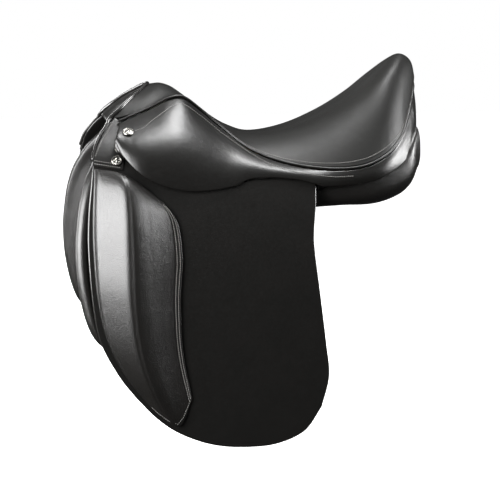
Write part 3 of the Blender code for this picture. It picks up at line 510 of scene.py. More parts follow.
def path_on(surface, points, count=80):
    """A path over a surface, from a few (x, z) points. The surface gives a point and its normal."""
    path = []
    for k in range(count + 1):
        p = along(points, k / count)
        path.append(surface(p.x, p.z))
    return path


# ---------------------------------------------------------------- knee block
# A long block of firm foam under soft grained hide. The cover is sewn in two parts: a seam runs down
# the crest, a shallow valley follows, and the rear border is double stitched to the flap.

BLOCK_TOP = [(-0.2570, 0.0590), (-0.2230, 0.0525), (-0.1920, 0.0365), (-0.1600, 0.0120)]
BLOCK_REAR = [(-0.1600, 0.0120), (-0.1410, -0.0150), (-0.1350, -0.0650), (-0.1390, -0.1220),
              (-0.1370, -0.1960), (-0.1240, -0.2700)]
BLOCK_FRONT = [(-0.2570, 0.0590), (-0.2620, 0.0000), (-0.2630, -0.0500), (-0.2590, -0.1150),
               (-0.2470, -0.1750), (-0.2230, -0.2270), (-0.1880, -0.2750)]
BLOCK_FOOT = [(-0.1880, -0.2750), (-0.1650, -0.2970), (-0.1420, -0.3080), (-0.1240, -0.2700)]
BLOCK_HEIGHT = 0.027
BLOCK_ACROSS = [(0.0, 0.10), (0.040, 0.13), (0.070, 0.22), (0.16, 0.47), (0.25, 0.72), (0.33, 0.93),
                (0.39, 1.0), (0.45, 0.95), (0.52, 0.82), (0.60, 0.64), (0.74, 0.36), (0.88, 0.12),
                (0.94, 0.09), (1.0, 0.09)]
BLOCK_DOWN = [(0.0, 0.28), (0.02, 0.56), (0.06, 0.82), (0.14, 0.97), (0.25, 1.0), (0.55, 0.95),
              (0.80, 0.70), (0.95, 0.35), (1.0, 0.15)]
BLOCK_WIDTH, BLOCK_LENGTH = 0.12, 0.34
BLOCK_EDGE = 0.0016
BLOCK_GAP = 0.0010
CREST_SEAM, BORDER_SEAM = 0.375, 0.905
block_us = shares(56, BLOCK_WIDTH, 0.002)
block_vs = shares(80, BLOCK_LENGTH, 0.002)
block_flat = coons(BLOCK_TOP, BLOCK_FOOT, BLOCK_FRONT, BLOCK_REAR, block_us, block_vs)


def block_rise(u, v):
    """Height of the block at share u across and v down, with a groove along each seam."""
    height = BLOCK_HEIGHT * at(BLOCK_ACROSS, u) * at(BLOCK_DOWN, v) + 0.0015
    height -= 0.0012 * math.exp(-((u - CREST_SEAM) / 0.010) ** 2) * smooth((1.02 - v) / 0.15)
    return height - 0.0006 * math.exp(-((u - BORDER_SEAM) / 0.012) ** 2)


def block_point(u, v):
    x, z = coons(BLOCK_TOP, BLOCK_FOOT, BLOCK_FRONT, BLOCK_REAR, [u], [v])[0][0]
    return on_side(x, z, flap_out(z) + BLOCK_GAP + THREAD_GAP + block_rise(u, v)), side_normal(x, z)


columns, rows = len(block_us), len(block_vs)
verts, faces = [], []
for v, line in zip(block_vs, block_flat):
    for u, (x, z) in zip(block_us, line):
        edge = min(min(u, 1 - u) * BLOCK_WIDTH, min(v, 1 - v) * BLOCK_LENGTH)
        rounded = math.sqrt(max(0.0, 1.0 - (1.0 - min(edge / BLOCK_EDGE, 1.0)) ** 2))
        lift = block_rise(u, v) * (rounded * 0.97 + 0.03)
        verts.append(on_side(x, z, flap_out(z) + BLOCK_GAP + lift))
verts += [on_side(x, z, flap_out(z) + BLOCK_GAP - 0.0001) for line in block_flat for x, z in line]
count = rows * columns
for r in range(rows - 1):
    for c in range(columns - 1):
        k = r * columns + c
        faces.append((k, k + 1, k + columns + 1, k + columns))
        faces.append((k + count, k + count + columns, k + count + columns + 1, k + count + 1))
rim = list(range(columns)) + [r * columns + columns - 1 for r in range(1, rows)]
rim += [(rows - 1) * columns + c for c in range(columns - 2, -1, -1)]
rim += [r * columns for r in range(rows - 2, 0, -1)]
for a, b in zip(rim, rim[1:] + rim[:1]):
    faces.append((b, a, a + count, b + count))
for label, hand in SIDES:
    piece = link_piece(f"knee_block_cover_{label}", verts, faces, grain_leather, hand)
    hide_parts(f"knee_block_{label}")
    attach(piece, f"flap_{label}")
    paths = [[block_point(u, 0.03 + 0.95 * k / 90) for k in range(91)] for u in (0.925, 0.965)]
    paths.append([block_point(u, 0.985) for u in (0.10, 0.25, 0.40, 0.55, 0.70, 0.85, 0.96)])
    sewn = stitches(f"knee_block_stitches_{label}", paths, hand)
    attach(sewn, f"flap_{label}")

# ---------------------------------------------------------------- sweat flap and front roll
# Under the flap a second hide keeps the horse's sweat off it. A roll of felt under grained hide is
# sewn along its front edge, where it holds the rider's thigh and shows in front of the flap.

SWEAT = 0.0035
SWEAT_TOP = [(-0.238, 0.048), (-0.150, 0.018), (-0.050, -0.006), (0.045, -0.034)]
SWEAT_FRONT = [(-0.238, 0.048), (-0.252, 0.000), (-0.2575, -0.055), (-0.2550, -0.100),
               (-0.2480, -0.140), (-0.238, -0.172), (-0.228, -0.205)]
SWEAT_REAR = [(0.045, -0.034), (0.048, -0.100), (0.058, -0.190), (0.056, -0.260)]
SWEAT_FOOT = [(-0.228, -0.205), (-0.190, -0.262), (-0.140, -0.300), (-0.060, -0.322),
              (0.010, -0.312), (0.056, -0.260)]
ROLL_LINE = [(-0.224, 0.116), (-0.238, 0.094), (-0.250, 0.064), (-0.262, 0.030), (-0.270, -0.010),
             (-0.2735, -0.055), (-0.2710, -0.100), (-0.2640, -0.140), (-0.2540, -0.172),
             (-0.2400, -0.192)]
ROLL_SWELL = [(0.0, 0.22), (0.06, 0.42), (0.14, 0.78), (0.24, 0.95), (0.33, 1.0), (0.67, 1.0),
              (0.78, 0.97), (0.89, 0.88), (1.0, 0.50)]
ROLL_SEAT = [(-0.050, -0.006), (0.040, -0.008), (0.095, -0.015), (0.120, -0.017)]
ROLL_PLUMP = [(0.0, 0.60), (0.10, 0.85), (0.25, 1.0), (0.67, 1.0), (0.89, 0.88), (1.0, 0.50)]
ROLL_RADIUS, ROLL_WIDTH = 0.014, 0.052
ROLL_STEPS, ROLL_SIDES = 90, 40

sweat_flat = coons(SWEAT_TOP, SWEAT_FOOT, SWEAT_FRONT, SWEAT_REAR, shares(30, 0.29, SWEAT / 2),
                   shares(36, 0.27, SWEAT / 2))
sweat_grid = [[on_side(x, z, 0.0) for x, z in line] for line in sweat_flat]


def roll_ring(t):
    """The roll's section: round in front, and thinning to a tail that lies inside the sweat flap."""
    p, ahead = along(ROLL_LINE, t), along(ROLL_LINE, min(t + 0.01, 1.0))
    behind = along(ROLL_LINE, max(t - 0.01, 0.0))
    run = (ahead - behind).normalized()
    inwards = Vector((1.0, 0.0, 0.10)).lerp(Vector((-run.z, 0.0, run.x)), smooth(t / 0.30)).normalized()
    radius = ROLL_RADIUS * at(ROLL_SWELL, t) * (1.0 + 0.015 * math.sin(t * 31.0) * math.sin(t * 12.0))
    width = max(ROLL_WIDTH * (0.82 + 0.18 * smooth(t / 0.3)) * (1.0 - smooth((t - 0.45) / 0.6)), radius)
    plump = ROLL_RADIUS * at(ROLL_PLUMP, t)
    ring = []
    for k in range(ROLL_SIDES):
        angle = 2 * math.pi * k / ROLL_SIDES
        a = (width - radius) / 2 - (width + radius) / 2 * math.cos(angle)
        thick = plump * (1.0 - 0.35 * smooth(a / width))
        b = thick * math.copysign(abs(math.sin(angle)) ** 0.7, math.sin(angle))
        seat = at(ROLL_SEAT, p.z)
        seat += (min(seat, -0.0045 - thick) - seat) * smooth((a + radius * 0.4) / 0.022)
        ring.append(on_side(p.x + inwards.x * a, p.z + inwards.z * a, seat + b))
    return ring


rings = [roll_ring(k / ROLL_STEPS) for k in range(ROLL_STEPS + 1)]
for scale in (0.92, 0.72, 0.40):
    for end in (0, -1):
        middle = sum(rings[end], Vector()) / ROLL_SIDES
        ring = [middle + (p - middle) * scale for p in roll_ring(0.0 if end == 0 else 1.0)]
        push = Vector((0.0, 0.0, 0.004 * (1.0 - scale) * (1 if end == 0 else -1)))
        rings.insert(0 if end == 0 else len(rings), [p + push for p in ring])

for label, hand in SIDES:
    piece = hide(f"sweat_flap_hide_{label}", sweat_grid, SWEAT, hand, flap_leather, edge_leather)
    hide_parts(f"sweat_flap_{label}")
    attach(piece, "root")
    piece = link_piece(f"front_roll_cover_{label}", *skin(rings), grain_leather, hand)
    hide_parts(f"front_roll_{label}")
    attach(piece, "root")

# ---------------------------------------------------------------- corner patch
# A patch of 2 mm leather sewn over the front corner of the flap's head. The lower nail goes through
# it, and the dee ring's chape is sewn to it.

PATCH = 0.0020
PATCH_RISE = 0.0028
PATCH_FRONT = [(-0.2225, 0.1270), (-0.2340, 0.1145), (-0.2460, 0.0975), (-0.2550, 0.0800),
               (-0.2597, 0.0625)]
PATCH_REAR = [(-0.2000, 0.1130), (-0.2060, 0.1000), (-0.2110, 0.0800), (-0.2160, 0.0560)]


def on_patch(x, z):
    return on_side(x, z, flap_out(z) + PATCH_RISE + THREAD_GAP), side_normal(x, z)


patch_grid = []
for v in shares(20, 0.055, PATCH / 2):
    a, b = along(PATCH_FRONT, v), along(PATCH_REAR, v)
    line = [a + (b - a) * u for u in shares(18, 0.035, PATCH / 2)]
    patch_grid.append([on_side(p.x, p.z, flap_out(p.z) + PATCH_RISE) for p in line])
for label, hand in SIDES:
    piece = hide(f"corner_patch_hide_{label}", patch_grid, PATCH, hand, flap_leather, edge_leather)
    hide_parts(f"corner_patch_{label}")
    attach(piece, "root")
    paths = [path_on(on_patch, [(-0.2570, 0.0652 + d), (-0.2180, 0.0590 + d)], 30) for d in (0.0, 0.0040)]
    paths.append(path_on(on_patch, [(-0.2545, 0.0750), (-0.2425, 0.0975), (-0.2240, 0.1220)], 40))
    sewn = stitches(f"corner_patch_stitches_{label}", paths, hand)
    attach(sewn, "root")

# ---------------------------------------------------------------- skirt
# The skirt covers the stirrup bar, under the rider's thigh: 3.5 mm leather, blocked to a bulge over the
# bar, sewn to the seat along the welt. On the saddle its front lobe lifts so that the bar can be reached;
# here it lies down.

SKIRT = 0.0035
SEAT_WELT = [(-0.217, 0.080, 0.1295), (-0.192, 0.071, 0.139), (-0.166, 0.062, 0.149),
             (-0.141, 0.054, 0.160), (-0.118, 0.050, 0.1615), (-0.091, 0.052, 0.142),
             (-0.062, 0.064, 0.117), (-0.022, 0.089, 0.086), (0.030, 0.112, 0.067),
             (0.090, 0.127, 0.059), (0.140, 0.126, 0.062), (0.178, 0.113, 0.077),
             (0.205, 0.092, 0.100), (0.222, 0.067, 0.126), (0.236, 0.040, 0.154), (0.244, 0.020, 0.172)]
SKIRT_EDGE = [(-0.2270, 0.1030), (-0.2180, 0.0850), (-0.1980, 0.0620), (-0.1780, 0.0480),
              (-0.1500, 0.0370), (-0.1140, 0.0310), (-0.0620, 0.0360), (-0.0320, 0.0465),
              (0.0060, 0.0480), (0.0420, 0.0440), (0.0640, 0.0380), (0.0890, 0.0340), (0.1400, 0.0360),
              (0.1720, 0.0450), (0.2030, 0.0600), (0.2240, 0.0800), (0.2370, 0.1000)]
SKIRT_BULGE = [(-0.227, 0.006), (-0.205, 0.018), (-0.170, 0.026), (-0.120, 0.027), (-0.080, 0.020),
               (-0.040, 0.014), (0.000, 0.009), (0.040, 0.006), (0.140, 0.004), (0.237, 0.003)]
SKIRT_EDGE_OUT = [(-0.227, 0.0310), (-0.198, 0.0300), (-0.170, 0.0250), (-0.140, 0.0220),
                  (-0.080, 0.0205), (0.066, 0.0205), (0.100, 0.0160), (0.140, 0.0100),
                  (0.172, 0.0090), (0.203, -0.0020), (0.224, -0.0110), (0.237, -0.0240)]
WELT_Y = [(x, y) for x, y, z in SEAT_WELT]
WELT_Z = [(x, z) for x, y, z in SEAT_WELT]
SKIRT_TUCK = 0.0026


def soft(table, x):
    """A reading averaged over 50 mm, for a line that the hide only follows loosely."""
    return sum(at(table, x + step) for step in (-0.025, -0.0125, 0.0, 0.0125, 0.025)) / 5


def skirt_y(x, z):
    """Half width of the skirt's outer face. Away from its edges the hide spans the corners of the seam."""
    foot = at(SKIRT_EDGE, x)
    edge = side(x, foot) + at(SKIRT_EDGE_OUT, x)
    widths = []
    for read in (at, soft):
        top = read(WELT_Z, x)
        share = min(max((top - z) / (top - foot), 0.0), 1.05)
        bulge = read(SKIRT_BULGE, x) * math.sin(math.pi * min(share, 1.0)) ** 0.9
        widths.append(read(WELT_Y, x) + (edge - read(WELT_Y, x)) * share + bulge)
    return widths[0] + (widths[1] - widths[0]) * smooth(share / 0.30)


def on_skirt(x, z):
    step = 0.001
    slope_x = (skirt_y(x + step, z) - skirt_y(x - step, z)) / (2 * step)
    slope_z = (skirt_y(x, z + step) - skirt_y(x, z - step)) / (2 * step)
    normal = Vector((-slope_x, 1.0, -slope_z)).normalized()
    return Vector((x, skirt_y(x, z), z)) + normal * THREAD_GAP, normal


skirt_top = [(x, z - SKIRT_TUCK) for x, y, z in SEAT_WELT[:15]]
skirt_grid = []
skirt_us = shares(150, 0.53, SKIRT / 2)
uppers, lowers = [along(skirt_top, u) for u in skirt_us], [along(SKIRT_EDGE, u) for u in skirt_us]
for v in shares(40, 0.07, SKIRT / 2):
    line = []
    for a, b in zip(uppers, lowers):
        p = a + (b - a) * v
        line.append(Vector((p.x, skirt_y(p.x, p.z), p.z)))
    skirt_grid.append(line)

SEAM = [(-0.1960, 0.1170), (-0.1830, 0.1215), (-0.1680, 0.1310), (-0.1500, 0.1420), (-0.1350, 0.1500),
        (-0.1180, 0.1510), (-0.0920, 0.1325), (-0.0630, 0.1085), (-0.0220, 0.0790), (0.0100, 0.0630),
        (0.0490, 0.0535), (0.0900, 0.0480), (0.1210, 0.0480)]

for label, hand in SIDES:
    piece = hide(f"skirt_hide_{label}", skirt_grid, SKIRT, hand, flap_leather, edge_leather)
    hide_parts(f"skirt_head_{label}", f"skirt_{label}")
    fold(piece)
    sewn = stitches(f"skirt_stitches_{label}", [path_on(on_skirt, SEAM, 200)], hand)
    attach(sewn, "root")

# ---------------------------------------------------------------- seat
# The seat: soft hide drawn over foam on the tree, sewn to the skirts and the cantle with a piped seam.
# The leather is stretched wet and dries taut, so it has no folds, only a pucker along the seam.

SEAT = 0.0020
SEAT_CENTRE = [(-0.157, 0.179), (-0.146, 0.180), (-0.131, 0.175), (-0.116, 0.165), (-0.098, 0.151),
               (-0.076, 0.134), (-0.045, 0.116), (-0.005, 0.106), (0.050, 0.117), (0.105, 0.142),
               (0.150, 0.172), (0.185, 0.201), (0.208, 0.217), (0.226, 0.221), (0.243, 0.211),
               (0.250, 0.188)]
SEAT_ROUND = [1.8, 1.8, 1.8, 1.9, 2.0, 2.2, 2.4, 2.6, 2.6, 2.6, 2.6, 2.6, 2.4, 2.2, 2.0, 2.0]
SEAT_DISH = [0.0, 0.0, 0.0, 0.0, 0.0, 0.0, 0.0, 0.002, 0.005, 0.008, 0.011, 0.010, 0.005, 0.0, 0.0, 0.0]
POMMEL_RIM = [(-0.1640, 0.0, 0.1790), (-0.1690, 0.0140, 0.1765), (-0.1810, 0.0300, 0.1690),
              (-0.1970, 0.0490, 0.1580), (-0.2130, 0.0630, 0.1450), (-0.2280, 0.0690, 0.1320)]
RIM_REACH = 0.12                        # how far back the pommel's rim pulls at the seat
WELT_RADIUS, WELT_STEPS = 0.0020, 160
last_station = len(SEAT_CENTRE) - 1
centre_x = [(k, p[0]) for k, p in enumerate(SEAT_CENTRE)]
centre_z = [(k, p[1]) for k, p in enumerate(SEAT_CENTRE)]
welt_tables = [[(k, p[i]) for k, p in enumerate(SEAT_WELT)] for i in range(3)]
round_table = list(enumerate(SEAT_ROUND))
dish_table = list(enumerate(SEAT_DISH))


def welt_at(u):
    return Vector([at(table, u * last_station) for table in welt_tables])


def seat_point_plain(u, v):
    """The domed seat at share u from the pommel and v across, -1 to 1."""
    k = u * last_station
    x, z, edge = at(centre_x, k), at(centre_z, k), welt_at(u)
    fall = abs(v) ** at(round_table, k)
    return Vector((x + (edge.x - x) * fall, edge.y * v, z + (edge.z - z) * fall))


def on_hand(p, hand):
    """The point on the side that hand's sign gives, or on the centre plane for 0."""
    return Vector((p.x, math.copysign(p.y, hand) if hand else 0.0, p.z))


def seat_point(u, v):
    """The seat's top, dished where the rider sits and drawn to the pommel's rim in front."""
    p = seat_point_plain(u, v)
    p.z -= at(dish_table, u * last_station) * max(0.0, 1.0 - (abs(v) / 0.55) ** 2) ** 2
    if u < RIM_REACH:
        target = on_hand(along(POMMEL_RIM, abs(v)), v) + Vector((0.0010, 0.0, 0.0))
        p += (target - seat_point_plain(0.0, v)) * (1.0 - u / RIM_REACH) ** 3
    return p


seat_us = shares(120, 0.52, SEAT / 2)
seat_vs = [1.0 - 2.0 * s for s in shares(72, 0.24, SEAT / 2)]
seat_grid = []
for u in seat_us:
    reach = 1.0 - 0.0016 / (seat_point_plain(u, 1.0) - seat_point_plain(u, 0.0)).length
    line = []
    for v in seat_vs:
        p = seat_point(u, v * reach)
        near = max(0.0, (abs(v) - 0.90) / 0.10)
        pucker = 0.00035 * math.sin(u * 520.0) * near * (1.0 - near) * 4.0
        line.append(p + Vector((0.0, 0.0, pucker)))
    seat_grid.append(line)
piece = hide("seat_hide", seat_grid, SEAT, 1, seat_leather)
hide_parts("seat_cover")
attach(piece, "root")


TUBE_SIDES = 12
TUBE_CAP = [(0.98, 0.20), (0.86, 0.51), (0.60, 0.80), (0.28, 0.96)]    # reach and size of each ring


def tube_piece(name, centres, radius, material, hand):
    """A round cord along a path, with rounded ends."""
    last = len(centres) - 1
    runs = [(centres[min(k + 1, last)] - centres[max(k - 1, 0)]).normalized() for k in range(last + 1)]
    head = [(centres[0] - runs[0] * radius * a * 0.9, radius * b, runs[0]) for a, b in TUBE_CAP]
    body = [(centre, radius, run) for centre, run in zip(centres, runs)]
    tail = [(centres[-1] + runs[-1] * radius * a * 0.9, radius * b, runs[-1]) for a, b in TUBE_CAP[::-1]]
    rings = []
    for centre, size, run in head + body + tail:
        flank = Vector((0.0, 1.0, 0.0))
        flank = (flank - run * flank.dot(run)).normalized()
        other = run.cross(flank)
        angles = [2 * math.pi * k / TUBE_SIDES for k in range(TUBE_SIDES)]
        rings.append([centre + flank * (size * math.cos(angle)) + other * (size * math.sin(angle))
                      for angle in angles])
    return link_piece(name, *skin(rings), material, hand)


welt_line = [welt_at(k / WELT_STEPS) for k in range(WELT_STEPS + 1)]
welt_line += [Vector((0.2462, 0.0100, 0.1760)), Vector((0.2475, 0.0030, 0.1785))]

STITCH_LINE = 0.965                     # share of the seat's half width
seat_path = []
for k in range(30, 150):
    u = k / WELT_STEPS
    a, b = seat_point(u, STITCH_LINE), seat_point(u, STITCH_LINE - 0.010)
    normal = (seat_point(u + 0.004, STITCH_LINE) - a).cross(b - a).normalized()
    if normal.z <= 0.0:
        normal = -normal
    seat_path.append((a + normal * 0.0002, normal))

for label, hand in SIDES:
    piece = tube_piece(f"seat_piping_{label}", welt_line, WELT_RADIUS, flap_leather, hand)
    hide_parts(f"seat_welt_{label}")
    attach(piece, "root")
    sewn = stitches(f"seat_stitches_{label}", [seat_path], hand)
    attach(sewn, "root")

# ---------------------------------------------------------------- pommel
# Leather drawn over the head of the tree closes the front of the pommel, from the piped rim down into
# the gullet. The rim's piping runs on into the front edges of the flaps.

FACING = 0.0025
facing_rows = []
for s in shares(18, 0.04, FACING / 2):
    line = []
    for k in range(-40, 41):
        share = abs(k) / 40
        rim = along(POMMEL_RIM, share)
        wide = min(share * 5 / 2, 1.0)
        p = rim + Vector((0.0110, -0.0300 * wide, -0.0330 * (1.0 - 0.45 * wide))) * s
        p += Vector((-0.0045, 0.0, 0.0)) * math.sin(math.pi * s)
        line.append(on_hand(p, k))
    facing_rows.append(line)
piece = hide("pommel_hide", facing_rows, FACING, 1, flap_leather)
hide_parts("pommel_facing")
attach(piece, "root")

PIPING_RADIUS = 0.0029
PIPING_TAIL = [(-0.2330, 0.1190), (-0.2430, 0.1060), (-0.2520, 0.0910), (-0.2580, 0.0720)]
half = [Vector((p[0] - 0.0006, p[1], p[2] + 0.0006)) for p in POMMEL_RIM]
half += [on_side(x, z, flap_out(z) + 0.0010) for x, z in PIPING_TAIL]
rim_line = []
for k in range(-120, 121):
    p = along([tuple(q) for q in half], abs(k) / 120)
    rim_line.append(on_hand(p, k))
piece = tube_piece("pommel_piping", rim_line, PIPING_RADIUS, edge_leather, 1)
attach(piece, "root")

# ---------------------------------------------------------------- cantle and panels
# The facing closes the back of the cantle. Below it two panels, leather cases stuffed with flock, bear
# on the horse and leave a channel for its spine.

CANTLE_EDGE = [(0.1412, 0.1270, 0.0360), (0.1720, 0.1240, 0.0450), (0.2030, 0.1060, 0.0600),
               (0.2240, 0.0840, 0.0860), (0.2380, 0.0600, 0.1000), (0.2450, 0.0300, 0.1190),
               (0.2470, 0.0, 0.1290)]
cantle_top = [(x + 0.0002, y, z - 0.0030) for x, y, z in SEAT_WELT[13:]] + [(0.2480, 0.0, 0.1755)]
cantle_rows = []
for s in shares(22, 0.05, FACING / 2):
    line = []
    for k in range(-60, 61):
        share = 1.0 - abs(k) / 60
        a, b = along(cantle_top, share), along(CANTLE_EDGE[3:], share)
        p = a + (b - a) * s
        p += Vector((p.x - 0.150, p.y, 0.0)).normalized() * 0.0024 * math.sin(math.pi * s)
        line.append(on_hand(p, k))
    cantle_rows.append(line)
cantle_rows = [line[::-1] for line in cantle_rows]
piece = hide("cantle_hide", cantle_rows, FACING, 1, flap_leather, edge_leather)
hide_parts("cantle_facing")
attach(piece, "root")

# Each section's x, the middle's y and z, half the width and depth, and the tilt in degrees.
PANEL_SECTIONS = [(-0.226, 0.074, 0.040, 0.036, 0.007, 62), (-0.205, 0.067, 0.046, 0.052, 0.012, 60),
                  (-0.150, 0.067, 0.034, 0.054, 0.015, 55), (-0.090, 0.071, 0.024, 0.050, 0.018, 45),
                  (-0.030, 0.077, 0.018, 0.046, 0.020, 30), (0.040, 0.078, 0.021, 0.042, 0.021, 14),
                  (0.110, 0.078, 0.024, 0.042, 0.024, 4), (0.165, 0.074, 0.030, 0.042, 0.031, -4),
                  (0.205, 0.066, 0.044, 0.040, 0.034, -6), (0.226, 0.057, 0.063, 0.037, 0.038, -8),
                  (0.238, 0.050, 0.080, 0.027, 0.034, -8)]
PANEL_STEPS, PANEL_SIDES = 110, 44
panel_tables = [[(s[0], s[i]) for s in PANEL_SECTIONS] for i in range(6)]


def panel_ring(x, scale):
    cy, cz, half_width, half_depth, tilt = [at(panel_tables[i], x) for i in range(1, 6)]
    half_width, half_depth = half_width * scale, half_depth * scale
    tilt = math.radians(tilt)
    ring = []
    for k in range(PANEL_SIDES):
        angle = 2 * math.pi * k / PANEL_SIDES
        a = math.copysign(abs(math.cos(angle)) ** 0.75, math.cos(angle)) * half_width
        b = math.copysign(abs(math.sin(angle)) ** 0.75, math.sin(angle)) * half_depth
        ring.append(Vector((x, cy + a * math.cos(tilt) + b * math.sin(tilt),
                            cz - a * math.sin(tilt) + b * math.cos(tilt))))
    return ring


panel_rings = []
first, last = PANEL_SECTIONS[0][0], PANEL_SECTIONS[-1][0]
for k in range(PANEL_STEPS + 1):
    x = first + (last - first) * k / PANEL_STEPS
    panel_rings.append(panel_ring(x, 1.0))
for push, scale in ((0.0020, 0.93), (0.0036, 0.80), (0.0046, 0.60), (0.0052, 0.30)):
    panel_rings.append([p + Vector((push, 0.0, 0.0)) for p in panel_ring(last, scale)])
    panel_rings.insert(0, [p - Vector((push * 0.6, 0.0, 0.0)) for p in panel_ring(first, scale)])
for label, hand in SIDES:
    piece = link_piece(f"panel_cover_{label}", *skin(panel_rings[::-1]), grain_leather, hand)
    shape = bmesh.new()
    shape.from_mesh(piece.data)
    bmesh.ops.recalc_face_normals(shape, faces=shape.faces)
    shape.to_mesh(piece.data)
    shape.free()
    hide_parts(f"panel_{label}")
    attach(piece, "root")

# ---------------------------------------------------------------- girth straps and buckle guard
# Two straps of 4 mm leather a side take the girth's buckles, with punched holes. A guard of thin
# leather lies over the buckles and keeps them off the flap.

BILLET, BILLET_OFFSET = 0.0040, 0.0050
BILLET_TOP, BILLET_LENGTH, BILLET_HALF, BILLET_TIP = 0.030, 0.305, 0.0125, 0.014
BILLETS = (("front", -0.098), ("rear", -0.046))
HOLES, HOLE_FIRST, HOLE_PITCH, HOLE_RADIUS = 8, 0.035, 0.025, 0.0024
GUARD, GUARD_OFFSET = 0.0025, 0.0085
GUARD_FRONT, GUARD_TOP, GUARD_WIDTH, GUARD_DROP = -0.128, 0.018, 0.112, 0.128


def billet_grid(x):
    """A strap's outer face, which narrows to a blunt tip."""
    grid = []
    foot = BILLET_TOP - BILLET_LENGTH
    for s in shares(60, 0.317, BILLET / 2):
        z = BILLET_TOP + BILLET_HALF + (foot - BILLET_TOP - BILLET_HALF) * s
        half = BILLET_HALF * (1.0 - 0.55 * smooth((foot + BILLET_TIP - z) / BILLET_TIP))
        grid.append([on_side(x + half * (2 * u - 1), z, BILLET_OFFSET)
                     for u in shares(8, BILLET_HALF * 2, BILLET / 2)])
    return grid


guard_grid = [[on_side(GUARD_FRONT + GUARD_WIDTH * u, GUARD_TOP - GUARD_DROP * v, GUARD_OFFSET)
               for u in shares(24, GUARD_WIDTH, GUARD / 2)] for v in shares(26, GUARD_DROP, GUARD / 2)]
for label, hand in SIDES:
    for strap, x in BILLETS:
        piece = hide(f"{strap}_billet_hide_{label}", billet_grid(x), BILLET, hand, flap_leather,
                     edge_leather)
        shape = bmesh.new()
        for k in range(HOLES):
            z = BILLET_TOP - BILLET_LENGTH + HOLE_FIRST + HOLE_PITCH * k
            centre, normal = on_side(x, z, 0.003), side_normal(x, z)
            turn = normal.to_track_quat("Z", "Y").to_matrix().to_4x4()
            place = Matrix.Diagonal((1, hand, 1, 1)) @ Matrix.Translation(centre) @ turn
            bmesh.ops.create_cone(shape, cap_ends=True, segments=14, radius1=HOLE_RADIUS,
                                  radius2=HOLE_RADIUS, depth=0.012, matrix=place)
        cut_out(piece, shape)
        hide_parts(f"{strap}_billet_{label}")
        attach(piece, f"{strap}_billet_{label}")
    piece = hide(f"buckle_guard_hide_{label}", guard_grid, GUARD, hand, flap_leather, edge_leather)
    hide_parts(f"buckle_guard_{label}")
    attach(piece, "root")

# ---------------------------------------------------------------- nail heads
# Nickel-plated nails hold the skirt and the patch to the tree. Each head is a low dome inside a raised
# rim, pressed with four small hollows that leave a cross.

nickel, tree, shader, place = new_material("black_nickel_plate")
# Plating: mirror-bright, with a faint haze 2 mm across where fingers have rubbed it.
haze = add(tree, "ShaderNodeTexNoise", {"Vector": (place, "Object"), "Scale": 500.0, "Detail": 3.0})
rub = add(tree, "ShaderNodeMapRange", {"Value": (haze, "Fac"), "To Min": 0.16, "To Max": 0.34})
tree.links.new(rub.outputs["Result"], shader.inputs["Roughness"])
two_tone(tree, shader, haze, "Fac", "7b7a76", "9d9b96")
shader.inputs["Metallic"].default_value = 1.0

STUD_RADIUS = 0.0078
STUD_RINGS, STUD_SIDES = 16, 32
STUD_DEPTH = 0.0004                     # how far the rim sinks into the leather


def stud_height(r, angle):
    """Profile of the head: a rim bead, a moat inside it, and a dome with four hollows."""
    share = r / STUD_RADIUS
    height = 0.0012 + 0.0012 * math.sqrt(max(0.0, 1.0 - ((share - 0.82) / 0.18) ** 2))
    if share <= 0.66:
        height = 0.0010 + 0.0021 * math.sqrt(max(0.0, 1.0 - (share / 0.70) ** 2))
        for k in range(4):
            quarter = math.pi / 4 + math.pi / 2 * k
            dx = share * math.cos(angle) - 0.36 * math.cos(quarter)
            dy = share * math.sin(angle) - 0.36 * math.sin(quarter)
            height -= 0.0014 * math.exp(-(dx * dx + dy * dy) / 0.022)
    return height


def nail_head(name, centre, normal, hand):
    turn = normal.to_track_quat("Z", "X").to_matrix()
    verts, faces = [centre + turn @ Vector((0.0, 0.0, stud_height(0.0, 0.0)))], []
    for r in range(1, STUD_RINGS + 2):
        for k in range(STUD_SIDES):
            angle = 2 * math.pi * k / STUD_SIDES
            radius = STUD_RADIUS * min(r / STUD_RINGS, 1.0)
            height = stud_height(radius, angle) if r <= STUD_RINGS else -STUD_DEPTH
            flat = Vector((radius * math.cos(angle), radius * math.sin(angle), height))
            verts.append(centre + turn @ flat)
    for k in range(STUD_SIDES):
        faces.append((0, 1 + k, 1 + (k + 1) % STUD_SIDES))
        for r in range(STUD_RINGS):
            a, b = 1 + r * STUD_SIDES + k, 1 + r * STUD_SIDES + (k + 1) % STUD_SIDES
            faces.append((a, a + STUD_SIDES, b + STUD_SIDES, b))
    faces.append(tuple(1 + STUD_RINGS * STUD_SIDES + k for k in reversed(range(STUD_SIDES))))
    return link_piece(name, verts, faces, nickel, hand)


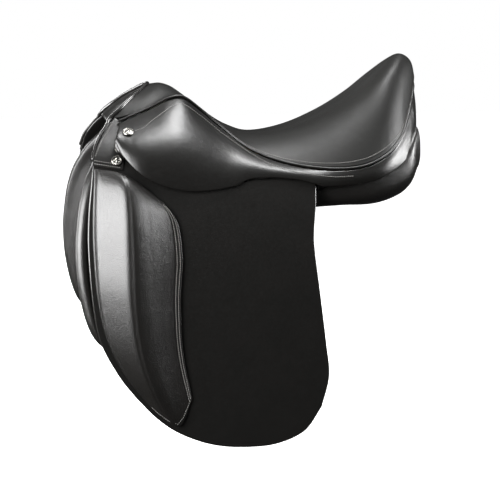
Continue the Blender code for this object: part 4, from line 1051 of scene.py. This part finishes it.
NAILS = (("skirt", on_skirt, (-0.2060, 0.1150), 0.0006), ("patch", on_patch, (-0.2245, 0.0680), 0.0005))
for label, hand in SIDES:
    for part, surface, place, lift in NAILS:
        point, normal = surface(*place)
        piece = nail_head(f"{part}_nail_{label}", point + normal * lift, normal, hand)
        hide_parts(f"{part}_stud_{label}")
        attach(piece, "root")

# ---------------------------------------------------------------- steel, wood, foam and small leather
# Forged and strip steel of the bars, plates and springs, the layered beech of the tree, the foam of the
# seat, the dee rings with their chapes and the bridge between the panels keep the model's own shape.

steel, tree, shader, place = new_material("forged_bar_steel")
# Hammer scale: dull grey patches 4 mm wide over brighter ground steel.
scale = add(tree, "ShaderNodeTexNoise", {"Vector": (place, "Object"), "Scale": 250.0, "Detail": 5.0})
two_tone(tree, shader, scale, "Fac", "6f6f70", "98989a")
dull = add(tree, "ShaderNodeMapRange", {"Value": (scale, "Fac"), "To Min": 0.28, "To Max": 0.50})
tree.links.new(dull.outputs["Result"], shader.inputs["Roughness"])
shader.inputs["Metallic"].default_value = 1.0

beech, tree, shader, place = new_material("varnished_beech_plywood")
# Clouded grain, darker patches 11 mm across, under a satin varnish.
grain = add(tree, "ShaderNodeTexNoise", {"Vector": (place, "Object"), "Scale": 90.0, "Detail": 6.0})
two_tone(tree, shader, grain, "Fac", "6e4d2f", "8b6641")
shader.inputs["Roughness"].default_value = 0.45

foam, tree, shader, place = new_material("open_cell_seat_foam")
# Open cells 1 mm wide, dusty and without gloss, with painted shade: a darker grey in the pit of each cell.
cells = add(tree, "ShaderNodeTexVoronoi", {"Vector": (place, "Object"), "Scale": 1000.0})
pits = add(tree, "ShaderNodeBump", {"Height": (cells, "Distance"), "Distance": 0.0004})
tree.links.new(pits.outputs["Normal"], shader.inputs["Normal"])
# Painted shade: the colour darkens towards each cell's middle, where the bump sinks into a pit.
two_tone(tree, shader, cells, "Distance", "8c8a84", "a5a39c")
shader.inputs["Roughness"].default_value = 0.95

FINISHES = {"stirrup_bar": steel, "bar_catch": steel, "head_plate": steel, "gullet_plate": steel,
            "tree_spring": steel, "saddle_tree": beech, "seat_foam": foam, "dee_ring": nickel,
            "dee_chape": flap_leather, "panel_bridge": grain_leather}
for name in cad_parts:
    for start, material in FINISHES.items():
        if name.startswith(start):
            obj = bpy.data.objects[name]
            obj.data.materials.clear()
            obj.data.materials.append(material)
